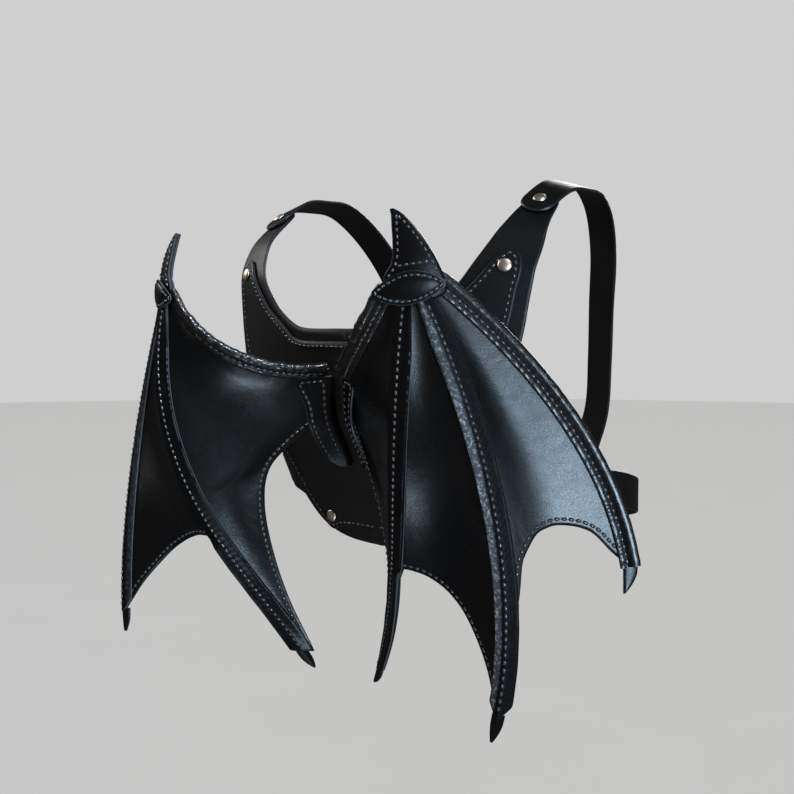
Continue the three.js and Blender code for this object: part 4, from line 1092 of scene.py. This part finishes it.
harnessLayer("yokeLayer", yokeHalf, yokeTip, harness["yokeHalfWidth"], harness["yokeHeight"],
             harness["yokeTop"], 0, "yoke")
plateLow = harness["leather"] + harness["gap"]
plateLine = harnessLayer("backPlateLayer", plateHalf, plateTip, harness["plateHalfWidth"],
                         harness["plateHeight"], harness["plateTop"], plateLow, "back_plate")

loop = np.vstack([plateLine, (plateLine[::-1] * np.array([-1, 1]))[1:]])
tangents = pathTangents(loop)
inward = np.stack([-tangents[:, 1], tangents[:, 0]], -1)
seam = loop + inward * harness["stitchInset"]
seam3d = backPoint(seam[:, 0], seam[:, 1], plateLow + harness["leather"])
addStitches("harnessStitches", [stitchRow(seam3d, backNormal(seam[:, 0], seam[:, 1]))])
print("yoke and plate ready")


# Strap: its width is laid square to the route and to the route's facing direction. Both ends may
# be half round.
def strapGrid(route, facing, roundStart, roundEnd):
    t = np.linspace(0, 1, 400)
    path = smoothCurve(route, t)
    face = smoothCurve(facing, t)
    total = runLength(path)[-1]
    half = harness["strapWidth"] / 2
    angles = np.radians(np.linspace(4, 88, 12))
    cap = half * (1 - np.cos(angles))
    stations = np.linspace(half if roundStart else 0, total - (half if roundEnd else 0), 140)
    widths = np.full(140, half)
    if roundStart:
        stations = np.concatenate([cap, stations])
        widths = np.concatenate([half * np.sin(angles), widths])
    if roundEnd:
        stations = np.concatenate([stations, (total - cap)[::-1]])
        widths = np.concatenate([widths, (half * np.sin(angles))[::-1]])
    line = alongPath(path, path, stations)
    run = unit(alongPath(path, pathTangents(path), stations))
    up = alongPath(path, face, stations)
    side = unit(np.cross(run, up))
    u = np.linspace(1, -1, 13)
    return line[:, None] + side[:, None] * (widths[:, None] * u[None])[..., None]


def ribPoint(turn, z):
    angle = np.asarray(turn, float) * math.pi / 4
    depth = (harness["torsoFront"] - float(backDepth(np.array(0.0), np.array(-float(harness["ribLevel"]))))) / 2
    centre = harness["torsoFront"] - depth
    x = harness["torsoHalfWidth"] * np.sin(angle)
    y = centre + depth * np.cos(angle)
    normal = unit(np.stack([x / harness["torsoHalfWidth"] ** 2, (y - centre) / depth ** 2, 0 * x], -1))
    return np.stack([x, y, z + 0 * x], -1), normal


shoulderRivet = np.array([124.0, 121.0])
shoulderRoute = np.array([
    (0.893, 0.372, 0.888), (0.89, 0.475, 0.903), (0.88, 0.57, 0.895), (0.85, 0.67, 0.8),
    (0.786, 0.773, 0.6), (0.714, 0.844, 0.333), (0.657, 0.902, 0.033), (0.607, 0.938, -0.267),
])
lapHeights = shoulderRivet[1] - np.array([0.3, 0]) * harness["strapWidth"]
lapX = np.full(2, shoulderRivet[0])
over = shoulderRoute * np.array([harness["yokeHalfWidth"], harness["torsoFront"], harness["shoulderHeight"]])
ends, _ = ribPoint(np.full(2, harness["ribRivetTurn"]), np.array([-0.78, -1.12]) * harness["ribLevel"])
route = np.vstack([backPoint(lapX, lapHeights, 0.0), over, ends])
after = np.vstack([route[1:], route[-1:]])
before = np.vstack([route[:1], route[:-1]])
direction = unit(after - before)
facing = unit(np.stack([0 * direction[:, 0] + harness["strapLean"], -direction[:, 2], direction[:, 1]], -1))
facing[:2] = backNormal(lapX, lapHeights)
strap = strapGrid(route, facing, True, True)
low = harness["leather"] + harness["lapGap"]

behind = np.array([(0.826, 1.026), (1, 1), (1.696, 0.838), (2.217, 0.761)]) * np.array([46, 117])
behindPoints = backPoint(behind[:, 0], -behind[:, 1], -harness["lapGap"] - harness["gap"] - harness["leather"])
ribRoute = np.array([(2.35, -0.74), (1.95, -0.8), (1.5, -0.88), (1.05, -0.96), (0.6, -1), (0.25, -1)])
ribPoints, ribNormals = ribPoint(ribRoute[:, 0], ribRoute[:, 1] * harness["ribLevel"])
seamPoint = ribPoints[-1] * np.array([0, 1, 1]) + np.array([harness["gap"], 0, 0])
ribLine = np.vstack([behindPoints, ribPoints, seamPoint[None]])
ribFacing = np.vstack([backNormal(behind[:, 0], -behind[:, 1]), ribNormals, [[0, 1, 0]]])
ribStrap = strapGrid(ribLine, ribFacing, True, False)

for side in ("right", "left"):
    for name, grid, base, node in (("ShoulderStrap", strap, low, "shoulder_strap"),
                                   ("RibStrap", ribStrap, 0, "rib_strap")):
        points, faces, edge = gridSheet(grid, base, base + harness["leather"], 0.35)
        if side == "left":
            points, faces = flipped(points, faces)
        addPiece(side + name, points, faces, harnessLeather, "harness_leather", edge,
                 replaces=[f"{side}_{node}"])
print("straps ready")

# Rivets: a cap turned from a profile of radius and height, with a rolled rim.
rivet = {
    "radius": 5.0, "gap": 0.5, "height": 2.2, "post": 2.0,
    "profile": np.array([(2.0, 0.5), (4.5, 0.5), (4.95, 0.72), (5.0, 1.05), (4.75, 1.5), (4.1, 1.98),
                         (3.1, 2.35), (2.0, 2.58), (1.0, 2.68), (0.05, 2.7)]),
}


def addRivet(name, point, axis, grip, node):
    under = -grip - 2 * rivet["gap"]
    back = np.array([(0.05, under - 1), (3.4, under - 1), (4.2, under - 0.8), (4.4, under - 0.3), (4.2, under),
                     (rivet["post"], under)])
    dome = smoothCurve(rivet["profile"], np.linspace(0, 1, 40))
    outline = np.vstack([back, dome])
    turn = np.arange(32) * math.pi / 16
    side = unit(np.cross(axis, np.array([0.3, 0.2, 1.0])))
    other = np.cross(axis, side)
    around = np.cos(turn)[:, None] * side + np.sin(turn)[:, None] * other
    rings = point + outline[:, :1, None] * around[None] + outline[:, 1][:, None, None] * axis
    points, faces = closedTube(rings)
    volume = np.einsum("ij,ij->i", points[faces[:, 0]] - point, np.cross(
        points[faces[:, 1]] - point, points[faces[:, 2]] - point)).sum()
    addPiece(name, points, faces if volume > 0 else faces[:, ::-1], nickel, "rivet_metal",
             replaces=[node], sharp=45)


outerFace = wingFace + harness["lapGap"] - harness["gap"]
for side, sign in (("right", 1), ("left", -1)):
    for name, x, z, height, grip in (
        ("horn", 120, 75, wingFace, wingFace),
        ("base", 46, -117, wingFace, wingFace + harness["lapGap"] + harness["leather"]),
        ("shoulder", *shoulderRivet, outerFace, outerFace),
    ):
        x = np.array(float(x * sign))
        z = np.array(float(z))
        addRivet(f"{side}{name.title()}Rivet", backPoint(x, z, height), backNormal(x, z), grip,
                 f"{side}_{name}_rivet")
    point, normal = ribPoint(harness["ribRivetTurn"], -float(harness["ribLevel"]))
    flip = np.array([sign, 1, 1])
    addRivet(f"{side}RibRivet", (point + normal * outerFace) * flip, normal * flip, outerFace,
             f"{side}_rib_rivet")

# Front clasp: a plate with rounded corners, a little crowned.
claspLow, claspHigh = (np.array(corner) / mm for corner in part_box("front_clasp"))
centre = (claspLow + claspHigh) / 2
size = claspHigh - claspLow
turn = np.linspace(0, 2 * math.pi, 65)[:-1]
corner = np.stack([np.sign(np.cos(turn)) * np.abs(np.cos(turn)) ** 0.35,
                   np.sign(np.sin(turn)) * np.abs(np.sin(turn)) ** 0.35], -1)
layers = np.array([(0.02, 0), (0.94, 0), (1, 0.18), (1, 0.6), (0.95, 0.88), (0.8, 0.97), (0.4, 1), (0.02, 1)])
rings = np.stack([
    centre[0] + layers[:, :1] * corner[:, 0] * size[0] / 2,
    claspLow[1] + layers[:, 1:] * size[1] + 0 * corner[:, 0],
    centre[2] - layers[:, :1] * corner[:, 1] * size[2] / 2,
], -1)
points, faces = closedTube(rings)
addPiece("claspPlate", points, faces[:, ::-1], claspMetal, "clasp_metal", replaces=["front_clasp"])
print("rivets and clasp ready")

# Stage, light and camera

view = {"azimuth": 36, "tilt": 3.746, "focalPixels": 1100, "imagePixels": 794, "place": (511.9, -640.1, 35.1)}
azimuth, tilt = math.radians(view["azimuth"]), math.radians(view["tilt"])
backward = Vector((math.sin(azimuth) * math.cos(tilt), -math.cos(azimuth) * math.cos(tilt), math.sin(tilt)))
rightward = Vector((math.cos(azimuth), math.sin(azimuth), 0))
upward = backward.cross(rightward)
camera = bpy.data.objects.new("camera", bpy.data.cameras.new("camera"))
bpy.context.scene.collection.objects.link(camera)
turned = Matrix((rightward, upward, backward)).transposed().to_4x4()
camera.matrix_world = Matrix.Translation(Vector(view["place"]) * mm) @ turned
camera.data.sensor_width = 36
camera.data.lens = 36 * view["focalPixels"] / view["imagePixels"]
camera.data.clip_end = 60
bpy.context.scene.camera = camera

floorLevel, floorRadius = -0.95, 14
floorMesh = bpy.data.meshes.new("floor")
turn = np.arange(96) * math.pi / 48
ring = np.stack([floorRadius * np.cos(turn), floorRadius * np.sin(turn), floorLevel + 0 * turn], -1)
floorMesh.from_pydata(ring.tolist(), [], [list(range(96))])
floor = bpy.data.objects.new("floor", floorMesh)
bpy.context.scene.collection.objects.link(floor)
floorPaint, floorTree, floorShader, floorPlace = newMaterial("pale floor", (0.74, 0.73, 0.71), Roughness=0.8)
floorColor = blend(floorTree, noise(floorTree, floorPlace, 3, 3), (0.75, 0.745, 0.73), (0.72, 0.715, 0.7))
floorTree.links.new(floorColor.socket, floorShader.inputs["Base Color"])
floorMesh.materials.append(floorPaint)
floor.visible_glossy = False

# Pale surroundings for the eye, which light the leather only weakly.
world = bpy.data.worlds.new("studio")
world.use_nodes = True
worldTree = world.node_tree
worldTree.nodes["Background"].inputs["Color"].default_value = (0.99, 0.99, 1, 1)
seen = addNode(worldTree, "ShaderNodeLightPath", {}, {}, "Is Camera Ray")
soft = addNode(worldTree, "ShaderNodeLightPath", {}, {}, "Is Diffuse Ray")
worldTree.links.new((0.06 + seen * 0.57 + soft * 0.75).socket, worldTree.nodes["Background"].inputs["Strength"])
bpy.context.scene.world = world
bpy.context.scene.view_settings.view_transform = "Standard"


# Soft box with a grid that narrows its beam. It stands where the camera's own axes say, in metres
# to the right, up and towards the camera from the object, and looks at the object or at its aim.
def addLight(name, offset, size, power, color, spread=180, aim=(0, 0, 0)):
    place = rightward * offset[0] + upward * offset[1] + backward * offset[2]
    away = place - (rightward * aim[0] + upward * aim[1] + backward * aim[2])
    lamp = bpy.data.lights.new(name, "AREA")
    lamp.shape = "DISK"
    lamp.size = size
    lamp.energy = power
    lamp.color = color
    lamp.spread = math.radians(spread)
    light = bpy.data.objects.new(name, lamp)
    bpy.context.scene.collection.objects.link(light)
    light.matrix_world = Matrix.Translation(place) @ away.to_track_quat("Z", "Y").to_matrix().to_4x4()


addLight("keyLight", (0.92, -0.02, 1.54), 0.75, 2.1, (0.61, 0.81, 1), 32)
addLight("lowLight", (-0.26, -0.84, 0.58), 0.14, 0.15, (0.68, 0.85, 1), 36)
addLight("flashLight", (0.1, 0.2, 1.35), 0.2, 0.02, (0.9, 0.96, 1), 40)
addLight("rimLight", (-1.7, 1.2, -0.8), 1, 2.5, (1, 0.96, 0.92), 60)
addLight("frontLight", (0.8, 0.9, -1.8), 0.9, 1.6, (1, 0.98, 0.96), 40)
addLight("leftLight", (-1.7, -0.47, 0.25), 0.3, 0.0036, (1, 0.96, 0.93), 9, (-0.19, -0.07, 0))
addLight("armLight", (0.45, 1.3, 0.7), 0.25, 0.35, (0.75, 0.88, 1), 12, (-0.1, 0.02, 0))
print("stage ready")

print("pieces", len(allPieces))
